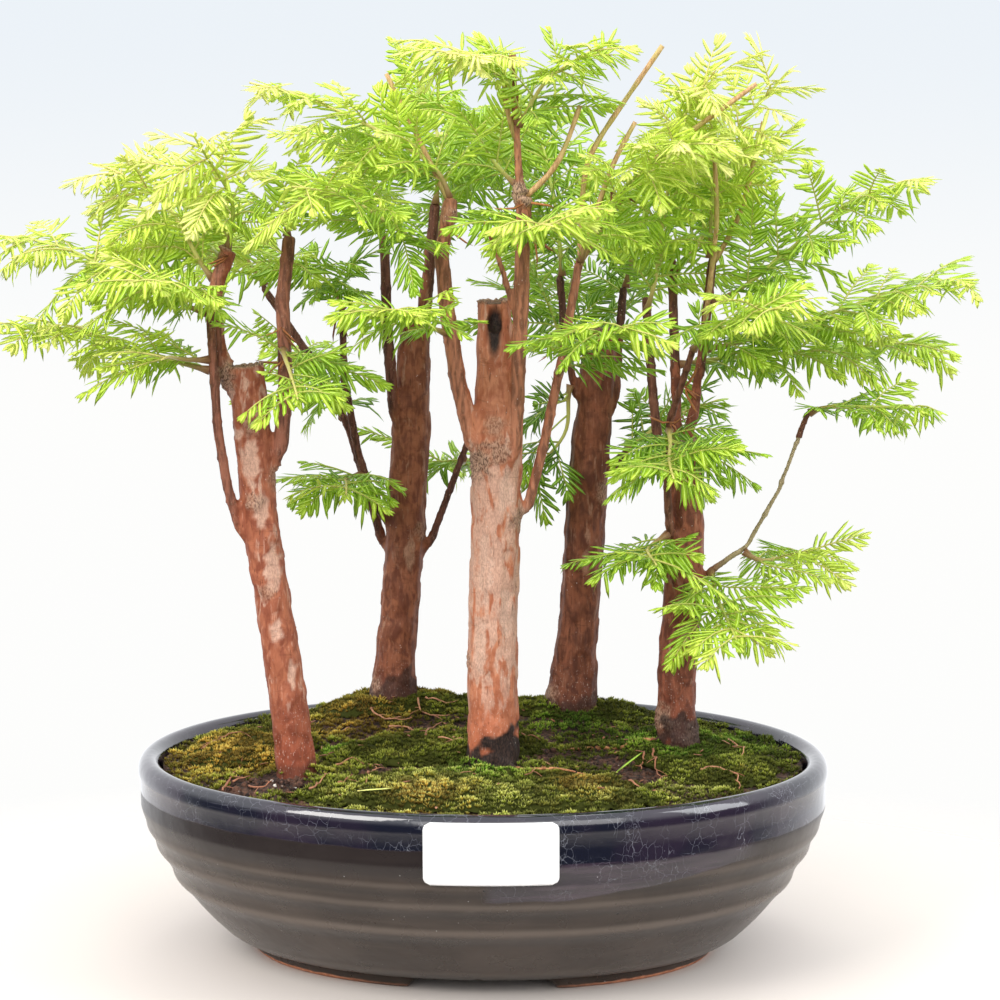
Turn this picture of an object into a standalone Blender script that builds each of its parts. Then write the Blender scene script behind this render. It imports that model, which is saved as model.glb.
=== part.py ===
"""A forest planting of five dawn redwoods in an oval glazed tray. Metres, +Z up.

The origin is the middle of the planting's footprint, on the table. The distances below are in
millimetres from the middle of the tray, with +X to the viewer's right and -Y to the viewer.
"""

import math
import random

import bmesh
import bpy
from mathutils import Matrix, Quaternion, Vector, noise
from mathutils.bvhtree import BVHTree
from mathutils.geometry import interpolate_bezier

MM = 0.001
GAP = 0.35  # left between pieces that rest on each other or stand in each other
SKY = 200.0  # a height well above the ground, from which it is measured

# Tray: an oval turned by hand, then squeezed along Y, more at the foot than at the rim.
RIM_INNER = 127.7
RIM_HEIGHT = 78.4
RIM_MIDDLE = (132.0, 73.6)
RIM_ROLL = 5.6
INNER_WALL = ((98.0, 15.5), (112.0, 28.0), (123.0, 52.0))
FLOOR_HALF = 70.0
FLOOR_TOP = 14.0
UNDERSIDE = 6.0
WALL_WIDEST = 136.5
WALL_NECK = 1.6
WALL_FOOT = 91.0
WALL_TOP = 60.0
WALL_LOW = 4.0
BELLY_ROUND = 1.2
BELLY_FULL = 0.65
THROWING_RIB = 20.4
THROWING_DEPTH = 1.6
RIM_RATIO = 0.78
RATIO_LOSS = 0.003
RATIO_SPARE = 3.2
NARROWEST = 90.0
TRAY_STEPS = 36
FOOT_HEIGHT = 5.0
FOOT_INNER = 81.0
ARCH_HALF = 27.0
ARCH_SKEW = 5.0
ARCH_HEIGHT = 4.6
ARCH_NEAR = 40.0
ARCH_FAR = 90.0
DRAIN_RADIUS = 8.0
DRAIN_OFFSET = 52.0
DRAIN_SIDES = 20
SCREEN_HALF = 14.0
SCREEN_THICKNESS = 0.8

LABEL_MIDDLE = 12.5
LABEL_WIDTH = 49.0
LABEL_TOP = 77.0
LABEL_BOTTOM = 54.0
LABEL_THICKNESS = 0.4
LABEL_CORNER = (0.985, 0.97)
RIM_LEAN_FROM = 68.0
RIM_LEAN = 0.016

# Soil: level with the rim in front, a low crown, and a mound at each of the two trees behind.
SOIL_EDGE = 74.5
SOIL_RINGS = (0.0, 38.0, 70.0, 98.0, 126.0)
SOIL_HALF = (127.0, 99.0)
SOIL_CROWN = 6.5
MOUNDS = ((-40, 52, 34, 10), (33, 45, 32, 8))  # x, y, width and height

# Moss cushions: middle, half-widths and turn in degrees.
MOSS = {
    "moss_front": (6, -67, 74, 24, 2),
    "moss_left": (-92, 2, 28, 37, -8),
    "moss_middle": (-16, -13, 47, 23, 12),
    "moss_back_left": (-40, 55, 38, 28, 8),
    "moss_back_right": (34, 54, 34, 29, -6),
    "moss_right": (87, -8, 30, 43, 22),
}
MOSS_THICKNESS = 3.4
MOSS_EDGE = 0.8
MOSS_BUMP = 0.8
MOSS_BUMP_WIDTH = 9.0

# Trunks: x, y, z and radius, from the foot up. The first point is at the soil.
TRUNKS = {
    "left_front": [(-68, -41, 79, 7.9), (-69, -41, 92, 7.6), (-72, -41, 118, 7.4),
                   (-76, -41, 145, 7.1), (-81, -41, 180, 7.1), (-83, -41, 213, 7.2),
                   (-86, -41, 235, 7.5)],
    "left_back": [(-41, 50, 88, 10.0), (-40, 50, 108, 8.2), (-38, 50, 130, 8.0),
                  (-36, 50, 152, 8.2), (-33, 50, 200, 8.0), (-31, 50, 246, 6.2)],
    "centre": [(7, -30, 79, 10.3), (7, -30, 103, 10.0), (7, -30, 124, 9.7), (8, -30, 165, 9.5),
               (9, -30, 204, 9.8), (9, -30, 222, 8.6), (8, -30, 259, 6.3)],
    "right_back": [(33, 43, 87, 10.8), (35, 43, 111, 9.0), (37, 43, 132, 8.3),
                   (40, 43, 183, 8.1), (44, 43, 227, 7.2), (45, 43, 243, 6.5)],
    "right_front": [(78, 5, 78, 8.6), (77, 5, 97, 7.8), (77, 5, 111, 7.8), (79, 5, 139, 7.7),
                    (80, 5, 170, 7.6), (79, 5, 203, 7.0)],
}
ROOT_STUB = 26.0
ROOT_NECK = 6.0
BURIED_RINGS = 3
TRUNK_SIDES = 10
LIMB_SIDES = 6
ROOT_SIDES = 4

# Limbs: radius at the trunk and at the end, then the route. Each starts inside its trunk.
LIMBS = {
    "left_front": {
        "thin": (2.1, 1.8, [(-81, -41, 164), (-88, -44, 174), (-92, -46, 190), (-95, -48, 212),
                            (-97, -50, 261)]),
        "top": (3.8, 3.0, [(-88, -41, 224), (-95, -42, 240), (-97, -43, 258), (-94, -44, 269),
                           (-90, -44, 279)]),
        "right": (3.2, 2.6, [(-79, -41, 192), (-72, -41, 206), (-70, -41, 230), (-71, -40, 260),
                             (-68, -40, 284)]),
    },
    "left_back": {
        "outer": (2.2, 1.6, [(-38, 50, 143), (-46, 54, 156), (-52, 57, 176), (-60, 59, 202),
                             (-76, 62, 230), (-96, 66, 259)]),
        "inner": (1.9, 1.5, [(-38, 49, 158), (-47, 46, 170), (-54, 44, 192), (-59, 40, 223),
                             (-59, 38, 252)]),
        "right": (1.8, 1.4, [(-34, 50, 142), (-25, 52, 156), (-18, 56, 175), (-10, 60, 197)]),
        "top": (3.4, 2.0, [(-31, 50, 236), (-27, 49, 250), (-24, 47, 275), (-22, 46, 294)]),
        "front": (3.0, 2.0, [(-34, 48, 192), (-39, 43, 212), (-41, 40, 240), (-42, 38, 282)]),
    },
    "centre": {
        "left": (3.8, 2.6, [(6, -32, 196), (0, -35, 208), (-5, -36, 228), (-9, -37, 255),
                            (-11, -38, 277), (-7, -40, 298)]),
        "front": (3.6, 2.8, [(10, -34, 190), (16, -37, 206), (17, -38, 228), (19, -39, 262),
                             (20, -40, 298)]),
        "leader": (1.6, 1.3, [(19, -40, 288), (18, -41, 312), (16, -42, 352)]),
        "right": (2.3, 1.7, [(10, -30, 172), (21, -30, 182), (27, -29, 206), (33, -28, 235),
                             (40, -26, 274)]),
        "thin": (1.2, 1.0, [(17, -38, 252), (12, -42, 272), (6, -46, 290)]),
    },
    "right_back": {
        "stub": (2.4, 2.2, [(41, 43, 176), (47, 43, 186), (56, 43, 193)]),
        "left": (2.0, 1.6, [(42, 43, 206), (35, 41, 218), (31, 38, 240), (29, 36, 265)]),
        "right": (2.2, 1.7, [(44, 43, 200), (51, 45, 216), (52, 48, 236), (54, 50, 260)]),
    },
    "right_front": {
        "front": (1.9, 1.4, [(79, 4, 156), (74, -5, 170), (73, -8, 190), (74, -12, 212),
                             (83, -22, 241)]),
        "right": (1.6, 1.2, [(80, 5, 143), (92, 3, 153), (104, 0, 162), (116, -2, 184),
                             (127, -5, 215)]),
        "left": (2.2, 1.8, [(77, 5, 180), (70, 9, 194), (67, 11, 220), (64, 15, 258)]),
        "tall": (2.6, 1.8, [(79, 5, 194), (83, 4, 214), (87, 2, 244), (90, 0, 274)]),
        "back": (2.4, 1.8, [(78, 6, 194), (76, 12, 220), (74, 20, 273)]),
    },
}

# The knot hollow near the sawn top of the tree in the centre.
KNOT_PLACE = (9, -35.5, 257)
KNOT_RADIUS = 4.2
KNOT_STRETCH = (0.8, 0.9, 2.2)

# Roots that show on the moss: radius at the trunk and at the end, then the route in x and y.
ROOTS = {
    "centre": (1.1, 0.7, [(12, -34), (22, -44), (33, -48), (44, -57)]),
    "right_front": (1.1, 0.7, [(74, 2), (60, -4), (48, -6), (33, -12)]),
}
ROOT_RISE = 1.8

# Sprays: the limb, how far along it the shoot leaves, and the place that its tip reaches.
SPRAYS = {
    "left_front": [
        ("thin", 0.97, (-178, -48, 287)), ("thin", 0.86, (-173, -58, 254)),
        ("thin", 0.88, (-142, -78, 242)), ("top", 0.70, (-141, -30, 313)),
        ("top", 1.00, (-100, -62, 322)), ("top", 0.55, (-118, -98, 272)),
        ("right", 1.00, (-62, -50, 330)), ("right", 0.60, (-58, -96, 230)),
        ("top", 0.85, (-122, 24, 286)),
    ],
    "left_back": [
        ("top", 1.00, (-34, 62, 350)), ("top", 0.75, (-6, 112, 322)),
        ("front", 1.00, (-74, 84, 326)), ("outer", 1.00, (-134, 84, 290)),
        ("inner", 0.40, (-82, 22, 186)), ("outer", 0.62, (-96, 114, 236)),
        ("right", 0.90, (-4, 84, 176)), ("inner", 1.00, (-78, -2, 276)),
    ],
    "centre": [
        ("leader", 0.85, (-22, -46, 361)), ("leader", 0.65, (50, -62, 355)),
        ("left", 1.00, (-80, -52, 343)), ("left", 0.80, (-58, -96, 306)),
        ("left", 0.55, (-30, -104, 262)), ("front", 0.90, (34, -108, 292)),
        ("right", 1.00, (84, -62, 322)), ("right", 0.72, (62, -92, 256)),
        ("leader", 0.30, (-24, 18, 338)),
    ],
    "right_back": [
        ("left", 1.00, (14, 74, 334)), ("right", 1.00, (84, 92, 322)),
        ("left", 0.60, (6, 112, 276)), ("stub", 1.00, (92, 66, 214)),
        ("left", 0.40, (12, 34, 180)), ("right", 0.70, (54, 116, 266)),
    ],
    "right_front": [
        ("tall", 1.00, (118, -2, 345)), ("tall", 0.80, (169, -8, 307)),
        ("tall", 0.60, (192, -5, 268)), ("back", 0.60, (180, 36, 240)),
        ("right", 1.00, (172, -12, 218)), ("front", 1.00, (118, -74, 262)),
        ("front", 0.70, (76, -76, 200)), ("left", 0.95, (90, -24, 347)),
        ("right", 0.45, (134, -14, 150)), ("front", 0.20, (36, -22, 156)),
        ("back", 0.95, (118, 64, 316)), ("right", 0.20, (100, -50, 134)),
    ],
}

# A shoot is the spray's slim core. Flat feathers stand on it, each a rib with needles.
SHOOT_RADIUS = 1.2
SHOOT_TAPER = 0.35
SHOOT_POINTS = 5
SHOOT_LEAN = 0.5
SHOOT_STOP = 0.62  # the end feather takes at most this share of the way to the tip
SHOOT_BOW = 0.16
SHOOT_TURN = 1.4  # radians round the limb
SHOOT_SWAY = 20.0
LEAVING_RISE = 0.25
FEATHER_LENGTH = 36.0
FEATHER_SIZES = (0.8, 1.05)
FEATHER_SPACING = 27.0
FEATHER_SWING = (0.85, 1.25)  # radians away from the shoot
FEATHER_LIFT = (-0.05, 0.25)
FEATHER_LEAN = 0.35
FEATHER_TILT = 0.75
FEATHER_RISE = 0.12
FEATHER_DROOP = 0.006
STALK = 3.5
SHORT_STALK = 2.0
END_NEEDLE = 6.0
RIB_HALF_WIDTH = 0.55
RIB_THICKNESS = 0.9
RIB_TAPER = 0.35
NEEDLE_LENGTH = 16.0
NEEDLE_PITCH = 5.2
NEEDLE_DROOP = 0.16
NEEDLE_LEAN = (14.0, 34.0)  # degrees towards the tip: at the stalk, and what the tip adds
CLEARANCE = 0.35
MOST_TRIES = 40
SEED = 5

COLOURS = {
    "glaze": ((0.016, 0.017, 0.026), 0.16),
    "mesh": ((0.03, 0.03, 0.03), 0.6),
    "paper": ((0.9, 0.9, 0.9), 0.5),
    "soil": ((0.045, 0.028, 0.018), 0.95),
    "moss": ((0.16, 0.20, 0.03), 0.95),
    "bark": ((0.30, 0.11, 0.06), 0.8),
    "needles": ((0.36, 0.62, 0.06), 0.55),
}
FINISHES = {
    "tray": "glaze",
    "drainage": "mesh",
    "label": "paper",
    "soil": "soil",
    "moss": "moss",
    "tree": "bark",
    "spray": "needles",
}
ROUNDED = ("tray", "tree", "moss")
SHARP_ANGLE = math.radians(40)


def clear_scene():
    for old in list(bpy.data.objects):
        bpy.data.objects.remove(old, do_unlink=True)


def new_collection(name, hidden=False):
    made = bpy.data.collections.new(name)
    bpy.context.scene.collection.children.link(made)
    made.hide_render = hidden
    return made


def material(name):
    colour, roughness = COLOURS[name]
    made = bpy.data.materials.new(name)
    made.use_nodes = True
    shader = made.node_tree.nodes["Principled BSDF"]
    shader.inputs["Base Color"].default_value = (*colour, 1)
    shader.inputs["Roughness"].default_value = roughness
    made.diffuse_color = (*colour, 1)
    return made


def add_object(name, mesh, collection):
    made = bpy.data.objects.new(name, mesh)
    collection.objects.link(made)
    return made


def move_to(collection, name):
    """Names the primitive that was just added and puts it in the collection."""
    made = bpy.context.object
    made.name = name
    bpy.context.collection.objects.unlink(made)
    collection.objects.link(made)
    return made


def bake(obj, weld=True):
    """The object as a plain mesh of its evaluated shape, in place of the object."""
    bpy.context.view_layer.update()
    graph = bpy.context.evaluated_depsgraph_get()
    mesh = bpy.data.meshes.new_from_object(obj.evaluated_get(graph))
    if weld:
        work = bmesh.new()
        work.from_mesh(mesh)
        bmesh.ops.remove_doubles(work, verts=work.verts, dist=0.001 * MM)
        work.to_mesh(mesh)
        work.free()
    baked = bpy.data.objects.new(obj.name, mesh)
    baked.matrix_world = obj.matrix_world
    for owner in obj.users_collection:
        owner.objects.link(baked)
    name = obj.name
    bpy.data.objects.remove(obj, do_unlink=True)
    baked.name = name
    return baked


def boolean(obj, operation, collection):
    """Joins or cuts with everything in the collection, then empties it."""
    modifier = obj.modifiers.new("boolean", "BOOLEAN")
    modifier.operation = operation
    modifier.operand_type = "COLLECTION"
    modifier.collection = collection
    baked = bake(obj, weld=False)
    for used in list(collection.objects):
        bpy.data.objects.remove(used, do_unlink=True)
    return baked


def largest_piece(obj):
    """Drops the loose scraps that a cut or a join can leave."""
    work = bmesh.new()
    work.from_mesh(obj.data)
    unseen, pieces = set(work.verts), []
    while unseen:
        piece, edge = set(), [unseen.pop()]
        while edge:
            vertex = edge.pop()
            piece.add(vertex)
            near = {link.other_vert(vertex) for link in vertex.link_edges} & unseen
            unseen -= near
            edge += near
        pieces.append(piece)
    pieces.sort(key=len)
    scraps = [vertex for piece in pieces[:-1] for vertex in piece]
    bmesh.ops.delete(work, geom=scraps, context="VERTS")
    work.to_mesh(obj.data)
    work.free()
    return obj


def smooth_route(points, parts):
    """Points on a smooth curve through the given ones, with this many parts between each two."""
    points = [Vector(point) for point in points]
    route = []
    for i in range(len(points) - 1):
        before = points[max(i - 1, 0)]
        after = points[min(i + 2, len(points) - 1)]
        first = points[i] + (points[i + 1] - before) / 6
        second = points[i + 1] - (after - points[i]) / 6
        route += interpolate_bezier(points[i], first, second, points[i + 1], parts + 1)[:-1]
    return route + [points[-1]]


def tube(name, route, radii, sides, collection):
    """A round rod along the route, with one radius for each of its points."""
    curve = bpy.data.curves.new(name, "CURVE")
    curve.dimensions = "3D"
    curve.bevel_depth = MM
    curve.bevel_resolution = (sides - 4) // 2
    curve.use_fill_caps = True
    spline = curve.splines.new("POLY")
    spline.points.add(len(route) - 1)
    for point, place, radius in zip(spline.points, route, radii):
        point.co = (*(Vector(place) * MM), 1)
        point.radius = radius
    return bake(add_object(name, curve, collection))


def tapered(first, last, count):
    return [first + (last - first) * i / (count - 1) for i in range(count)]


def box(name, low, high, collection):
    bpy.ops.mesh.primitive_cube_add(size=1)
    made = move_to(collection, name)
    low, high = Vector(low) * MM, Vector(high) * MM
    made.data.transform(Matrix.Translation((low + high) / 2) @ Matrix.Diagonal((*(high - low), 1)))
    return made


def cylinder(name, middle, radius, low, high, collection):
    size = {"radius": radius * MM, "depth": (high - low) * MM}
    bpy.ops.mesh.primitive_cylinder_add(vertices=DRAIN_SIDES, **size)
    made = move_to(collection, name)
    made.data.transform(Matrix.Translation(Vector((*middle, (low + high) / 2)) * MM))
    return made


def oval(place):
    """Squeezes a turned point along Y: the oval is narrower at the foot than at the rim."""
    radius = math.hypot(place.x, place.y) / MM
    ratio = RIM_RATIO - RATIO_LOSS * (RIM_INNER - max(radius, NARROWEST))
    return Vector((place.x, place.y * min(ratio, RIM_RATIO + RATIO_LOSS * RATIO_SPARE), place.z))


def wall_half_width(height):
    """The outside of the tray's wall, with the soft ribs left by the thrower's fingers."""
    depth = (WALL_TOP - min(height, WALL_TOP)) / (WALL_TOP - WALL_LOW)
    belly = (1 - min(depth, 1) ** BELLY_ROUND) ** BELLY_FULL
    rib = THROWING_DEPTH * abs(math.sin(math.pi * (height - WALL_TOP) / THROWING_RIB))
    return WALL_FOOT + (WALL_WIDEST - WALL_NECK - WALL_FOOT) * belly + rib


def turned(name, profile, collection):
    """A profile of (half-width, height) pairs, spun and squeezed to the tray's oval."""
    mesh = bpy.data.meshes.new(name)
    places = [(width * MM, 0, height * MM) for width, height in profile]
    mesh.from_pydata(places, [(i, i + 1) for i in range(len(places) - 1)], [])
    obj = add_object(name, mesh, collection)
    screw = obj.modifiers.new("turned", "SCREW")
    screw.steps = screw.render_steps = TRAY_STEPS
    screw.use_merge_vertices = True
    screw.merge_threshold = 0.00001
    obj = bake(obj)
    for vertex in obj.data.vertices:
        vertex.co = oval(vertex.co)
    return obj


def make_tray(parts, cutters):
    """The tray stands on two C-shaped feet, which an arch in front and behind leaves."""
    inside = [(0, FLOOR_TOP), (FLOOR_HALF, FLOOR_TOP), *INNER_WALL, (RIM_INNER, RIM_HEIGHT - 2)]
    roll_width, roll_height = RIM_MIDDLE
    roll = [(roll_width + (WALL_WIDEST - roll_width) * math.sin(math.radians(angle)),
             roll_height + RIM_ROLL * math.cos(math.radians(angle)))
            for angle in range(-22, 116, 34)]
    heights = [WALL_TOP + 4] + [WALL_TOP - THROWING_RIB * i / 4 for i in range(11)]
    outside = [(wall_half_width(height), height) for height in heights]
    foot = [(WALL_FOOT + 1, FOOT_HEIGHT), (WALL_FOOT - 0.5, 0), (FOOT_INNER, 0),
            (FOOT_INNER - 1, UNDERSIDE)]
    tray = turned("tray", inside + roll + outside + foot + [(0, UNDERSIDE)], parts)
    for side in (-1, 1):
        middle = -ARCH_SKEW * side
        near, far = sorted((ARCH_NEAR * side, ARCH_FAR * side))
        box("arch", (middle - ARCH_HALF, near, -5), (middle + ARCH_HALF, far, ARCH_HEIGHT), cutters)
        cylinder("drain", (DRAIN_OFFSET * side, 0), DRAIN_RADIUS, 0, 30, cutters)
    return boolean(tray, "DIFFERENCE", cutters)


def make_screens(parts):
    """A small square of plastic mesh lies over each drainage hole, under the soil."""
    low = FLOOR_TOP + GAP
    for name, x in (("drainage_screen_left", -DRAIN_OFFSET), ("drainage_screen_right", DRAIN_OFFSET)):
        corner = (x - SCREEN_HALF, -SCREEN_HALF, low)
        box(name, corner, (x + SCREEN_HALF, SCREEN_HALF, low + SCREEN_THICKNESS), parts)


def soil_height(x, y):
    crown = SOIL_CROWN * max(0, 1 - (x / SOIL_HALF[0]) ** 2 - (y / SOIL_HALF[1]) ** 2)
    mounds = [height * math.exp(-((x - mound_x) ** 2 + (y - mound_y) ** 2) / width ** 2)
              for mound_x, mound_y, width, height in MOUNDS]
    return SOIL_EDGE + crown + sum(mounds)


def triangulate(mesh):
    work = bmesh.new()
    work.from_mesh(mesh)
    bmesh.ops.triangulate(work, faces=work.faces)
    work.to_mesh(mesh)
    work.free()


def make_soil(parts, cutters):
    """The soil with a plain hole for each trunk, and its mesh from before the holes were made."""
    inset = GAP + 0.1
    floor = FLOOR_TOP + GAP + SCREEN_THICKNESS + 0.3
    top = [(width, SOIL_EDGE) for width in SOIL_RINGS]
    side = [(width - inset, height + inset) for width, height in reversed(INNER_WALL)]
    soil = turned("soil", top + side + [(FLOOR_HALF, floor), (0, floor)], parts)
    for vertex in soil.data.vertices:
        if vertex.co.z > (SOIL_EDGE - 1) * MM:
            vertex.co.z = soil_height(vertex.co.x / MM, vertex.co.y / MM) * MM
    triangulate(soil.data)
    unbroken = soil.data.copy()
    for trunk in TRUNKS:
        trunk_tube(trunk, GAP, cutters, upper=False)
    return boolean(soil, "DIFFERENCE", cutters), unbroken


def trunk_tube(name, grow, collection, upper=True):
    """A trunk with its stub of root in the soil, or its lower end alone, grown all round."""
    rings = TRUNKS[name] if upper else TRUNKS[name][:BURIED_RINGS]
    x, y, z, radius = rings[0]
    rings = [(x, y, z - ROOT_STUB - grow, radius * 0.8), (x, y, z - ROOT_NECK, radius), *rings]
    radii = [ring[3] + grow for ring in rings]
    return tube(name, [ring[:3] for ring in rings], radii, TRUNK_SIDES, collection)


def surface_tree(mesh):
    return BVHTree.FromPolygons([v.co for v in mesh.vertices], [f.vertices for f in mesh.polygons])


def height_on(tree, x, y):
    """The height of a surface at a place, or None past its edge."""
    place = tree.ray_cast(Vector((x, y, SKY)) * MM, Vector((0, 0, -1)))[0]
    return place.z / MM if place else None


def make_moss(name, unbroken, parts, cutters):
    """A cushion that follows the ground, with its underside cut to the soil's shape."""
    middle_x, middle_y, half_x, half_y, turn = MOSS[name]
    ground = surface_tree(unbroken)
    around = Matrix.Rotation(math.radians(turn), 2)
    work = bmesh.new()
    bmesh.ops.create_uvsphere(work, u_segments=12, v_segments=6, radius=1)
    for vertex in work.verts:
        up = vertex.co.z
        flat = around @ Vector((vertex.co.x * half_x, vertex.co.y * half_y))
        x, y = middle_x + flat.x, middle_y + flat.y
        bump = MOSS_BUMP * noise.noise(Vector((x, y, 0)) / MOSS_BUMP_WIDTH) if up > 0 else 0
        rise = math.copysign(MOSS_THICKNESS * abs(up) ** 0.6, up)
        vertex.co = Vector((x, y, height_on(ground, x, y) + rise + bump + MOSS_EDGE)) * MM
    mesh = bpy.data.meshes.new(name)
    work.to_mesh(mesh)
    work.free()
    cushion = add_object(name, mesh, parts)
    under = add_object("ground", unbroken.copy(), cutters)
    under.data.transform(Matrix.Translation((0, 0, GAP * MM)))
    return largest_piece(boolean(cushion, "DIFFERENCE", cutters))


def make_label(parts):
    """A paper label stuck on the wall under the rim, bent to its curve."""
    bpy.ops.mesh.primitive_grid_add(x_subdivisions=6, y_subdivisions=4, size=1)
    label = move_to(parts, "label")
    middle, height = (LABEL_TOP + LABEL_BOTTOM) / 2, LABEL_TOP - LABEL_BOTTOM
    for vertex in label.data.vertices:
        corner = abs(vertex.co.x) > 0.49 and abs(vertex.co.y) > 0.49
        cut_x, cut_y = LABEL_CORNER if corner else (1, 1)
        x = LABEL_MIDDLE + vertex.co.x * cut_x * LABEL_WIDTH
        z = middle + vertex.co.y * cut_y * height
        width = WALL_WIDEST + 0.2 - RIM_LEAN * max(0, z - RIM_LEAN_FROM) ** 2
        depth = width * (RIM_RATIO + RATIO_LOSS * RATIO_SPARE)
        y = -depth * math.sqrt(1 - (x / width) ** 2) - GAP - LABEL_THICKNESS
        vertex.co = Vector((x, y, z)) * MM
    solid = label.modifiers.new("thickness", "SOLIDIFY")
    solid.thickness = LABEL_THICKNESS * MM
    solid.offset = 0
    return bake(label)


def root_route(turns, ground):
    """A root's route in x and y, laid just clear of the moss and the soil."""
    route = []
    for place in smooth_route([(x, y, 0) for x, y in turns], 5):
        heights = [height_on(tree, place.x, place.y) for tree in ground]
        top = max(height for height in heights if height)
        route.append(Vector((place.x, place.y, top + ROOT_RISE)))
    return route


def make_tree(name, ground, parts, joined):
    """The trunk, its limbs and the root that shows, grown as one piece."""
    trunk = trunk_tube(name, 0, parts)
    for limb, (first, last, turns) in LIMBS[name].items():
        tube(limb, turns, tapered(first, last, len(turns)), LIMB_SIDES, joined)
    if name in ROOTS:
        first, last, turns = ROOTS[name]
        route = root_route(turns, ground)
        tube("root", route, tapered(first, last, len(route)), ROOT_SIDES, joined)
    wood = boolean(trunk, "UNION", joined)
    if name == "centre":
        bpy.ops.mesh.primitive_uv_sphere_add(segments=10, ring_count=7, radius=KNOT_RADIUS * MM)
        knot = move_to(joined, "knot")
        stretch = Matrix.Diagonal((*KNOT_STRETCH, 1))
        knot.data.transform(Matrix.Translation(Vector(KNOT_PLACE) * MM) @ stretch)
        wood = boolean(wood, "DIFFERENCE", joined)
    wood.name = "tree_" + name
    return largest_piece(wood)


class Blocker:
    """The pieces that are already in place, for asking whether a new one would cross them."""

    def __init__(self):
        self.known = []

    @staticmethod
    def corners(places):
        low = Vector([min(place[i] for place in places) for i in range(3)])
        high = Vector([max(place[i] for place in places) for i in range(3)])
        return low, high

    def add(self, places, faces, owner):
        self.known.append((*self.corners(places), BVHTree.FromPolygons(places, faces), owner))

    def add_object(self, obj):
        places = [vertex.co.copy() for vertex in obj.data.vertices]
        self.add(places, [tuple(face.vertices) for face in obj.data.polygons], obj.name)

    def crossed(self, places, faces, owner):
        low, high = self.corners(places)
        tree = BVHTree.FromPolygons(places, faces)
        for other_low, other_high, other, other_owner in self.known:
            apart = any(low[i] > other_high[i] or high[i] < other_low[i] for i in range(3))
            if other_owner != owner and not apart and tree.overlap(other):
                return True
        return False


def feather(base, ahead, up, length, grow=0.0):
    """A flat rib with a pair of needles on each step of it, arching over towards its tip.

    Each needle is a four-sided point that stands on the rib's edge.
    """
    side = ahead.cross(up).normalized()
    up = side.cross(ahead).normalized()
    half, deep = RIB_HALF_WIDTH + grow, RIB_THICKNESS / 2 + grow
    stalk = STALK if length > FEATHER_LENGTH / 2 else SHORT_STALK
    steps = max(4, round((length - stalk) / NEEDLE_PITCH) - 1)
    pitch = (length - stalk - END_NEEDLE + 1) / steps
    places, faces = [], [(3, 2, 1, 0)]
    for along in [0.0] + [stalk + pitch * i for i in range(steps + 1)]:
        arch = FEATHER_RISE * along - FEATHER_DROOP * along * along
        thin = 1 - RIB_TAPER * along / length
        for across, rise in ((-half, deep), (half, deep), (half, -deep), (-half, -deep)):
            middle = base + ahead * along + up * arch
            places.append((middle + side * across * thin + up * rise * thin) * MM)
    for i in range(steps + 1):
        low, high = 4 * i, 4 * i + 4
        faces += [(low, low + 1, high + 1, high), (low + 2, low + 3, high + 3, high + 2)]
        for hand, (near, far) in ((1, (1, 2)), (-1, (3, 0))):
            ring = (low + near, low + far, high + far, high + near)
            if i == 0:
                faces.append(ring)
                continue
            share = (i - 0.5) / steps
            reach = NEEDLE_LENGTH * (0.72 + 0.28 * math.sin(math.pi * share)) * (1 - 0.25 * share)
            lean = math.radians(NEEDLE_LEAN[0] + NEEDLE_LEAN[1] * share)
            out = side * hand * math.cos(lean) + ahead * math.sin(lean) - up * NEEDLE_DROOP
            places.append((places[ring[0]] + places[ring[2]]) / 2 + out * (reach + grow) * MM)
            faces += [(ring[k], ring[(k + 1) % 4], len(places) - 1) for k in range(4)]
    end = 4 * (steps + 1)
    tip = (ahead - up * 0.2) * END_NEEDLE * MM
    places.append(sum(places[end:end + 4], Vector()) / 4 + tip)
    faces += [(end + k, end + (k + 1) % 4, len(places) - 1) for k in range(4)]
    return places, faces


def rod(route, radius):
    """A three-sided rod as places and faces, for a shoot."""
    places, faces = [], [(2, 1, 0)]
    for i, place in enumerate(route):
        ahead = (route[min(i + 1, len(route) - 1)] - route[max(i - 1, 0)]).normalized()
        side = ahead.cross(Vector((0.3, 0.9, 0.1))).normalized()
        up = side.cross(ahead)
        thin = radius * (1 - SHOOT_TAPER * i / (len(route) - 1))
        for turn in (0, math.tau / 3, math.tau * 2 / 3):
            places.append((place + (side * math.cos(turn) + up * math.sin(turn)) * thin) * MM)
    for low in range(0, 3 * (len(route) - 1), 3):
        for k in range(3):
            along = (k + 1) % 3
            faces.append((low + k, low + along, low + 3 + along, low + 3 + k))
    faces.append(tuple(range(len(places) - 3, len(places))))
    return places, faces


def closed_mesh(name, places, faces, collection):
    mesh = bpy.data.meshes.new(name)
    mesh.from_pydata(places, [], faces)
    work = bmesh.new()
    work.from_mesh(mesh)
    bmesh.ops.triangulate(work, faces=work.faces)
    bmesh.ops.recalc_face_normals(work, faces=work.faces)
    work.to_mesh(mesh)
    work.free()
    return add_object(name, mesh, collection)


def shoot_route(base, leave, tip, sway):
    """A young shoot rises off its limb, sways and then leans out towards the tip."""
    reach = tip - base
    outward = Vector((reach.x, reach.y, 0)).normalized()
    final = (reach.normalized() + outward * SHOOT_LEAN).normalized()
    stop = tip - final * min(FEATHER_LENGTH - 4, reach.length * SHOOT_STOP)
    bow = reach.length * SHOOT_BOW
    first = base + leave * bow + sway
    second = stop - (final + Vector((0, 0, 0.2))) * bow
    return interpolate_bezier(base, first, second, stop, SHOOT_POINTS), final


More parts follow.
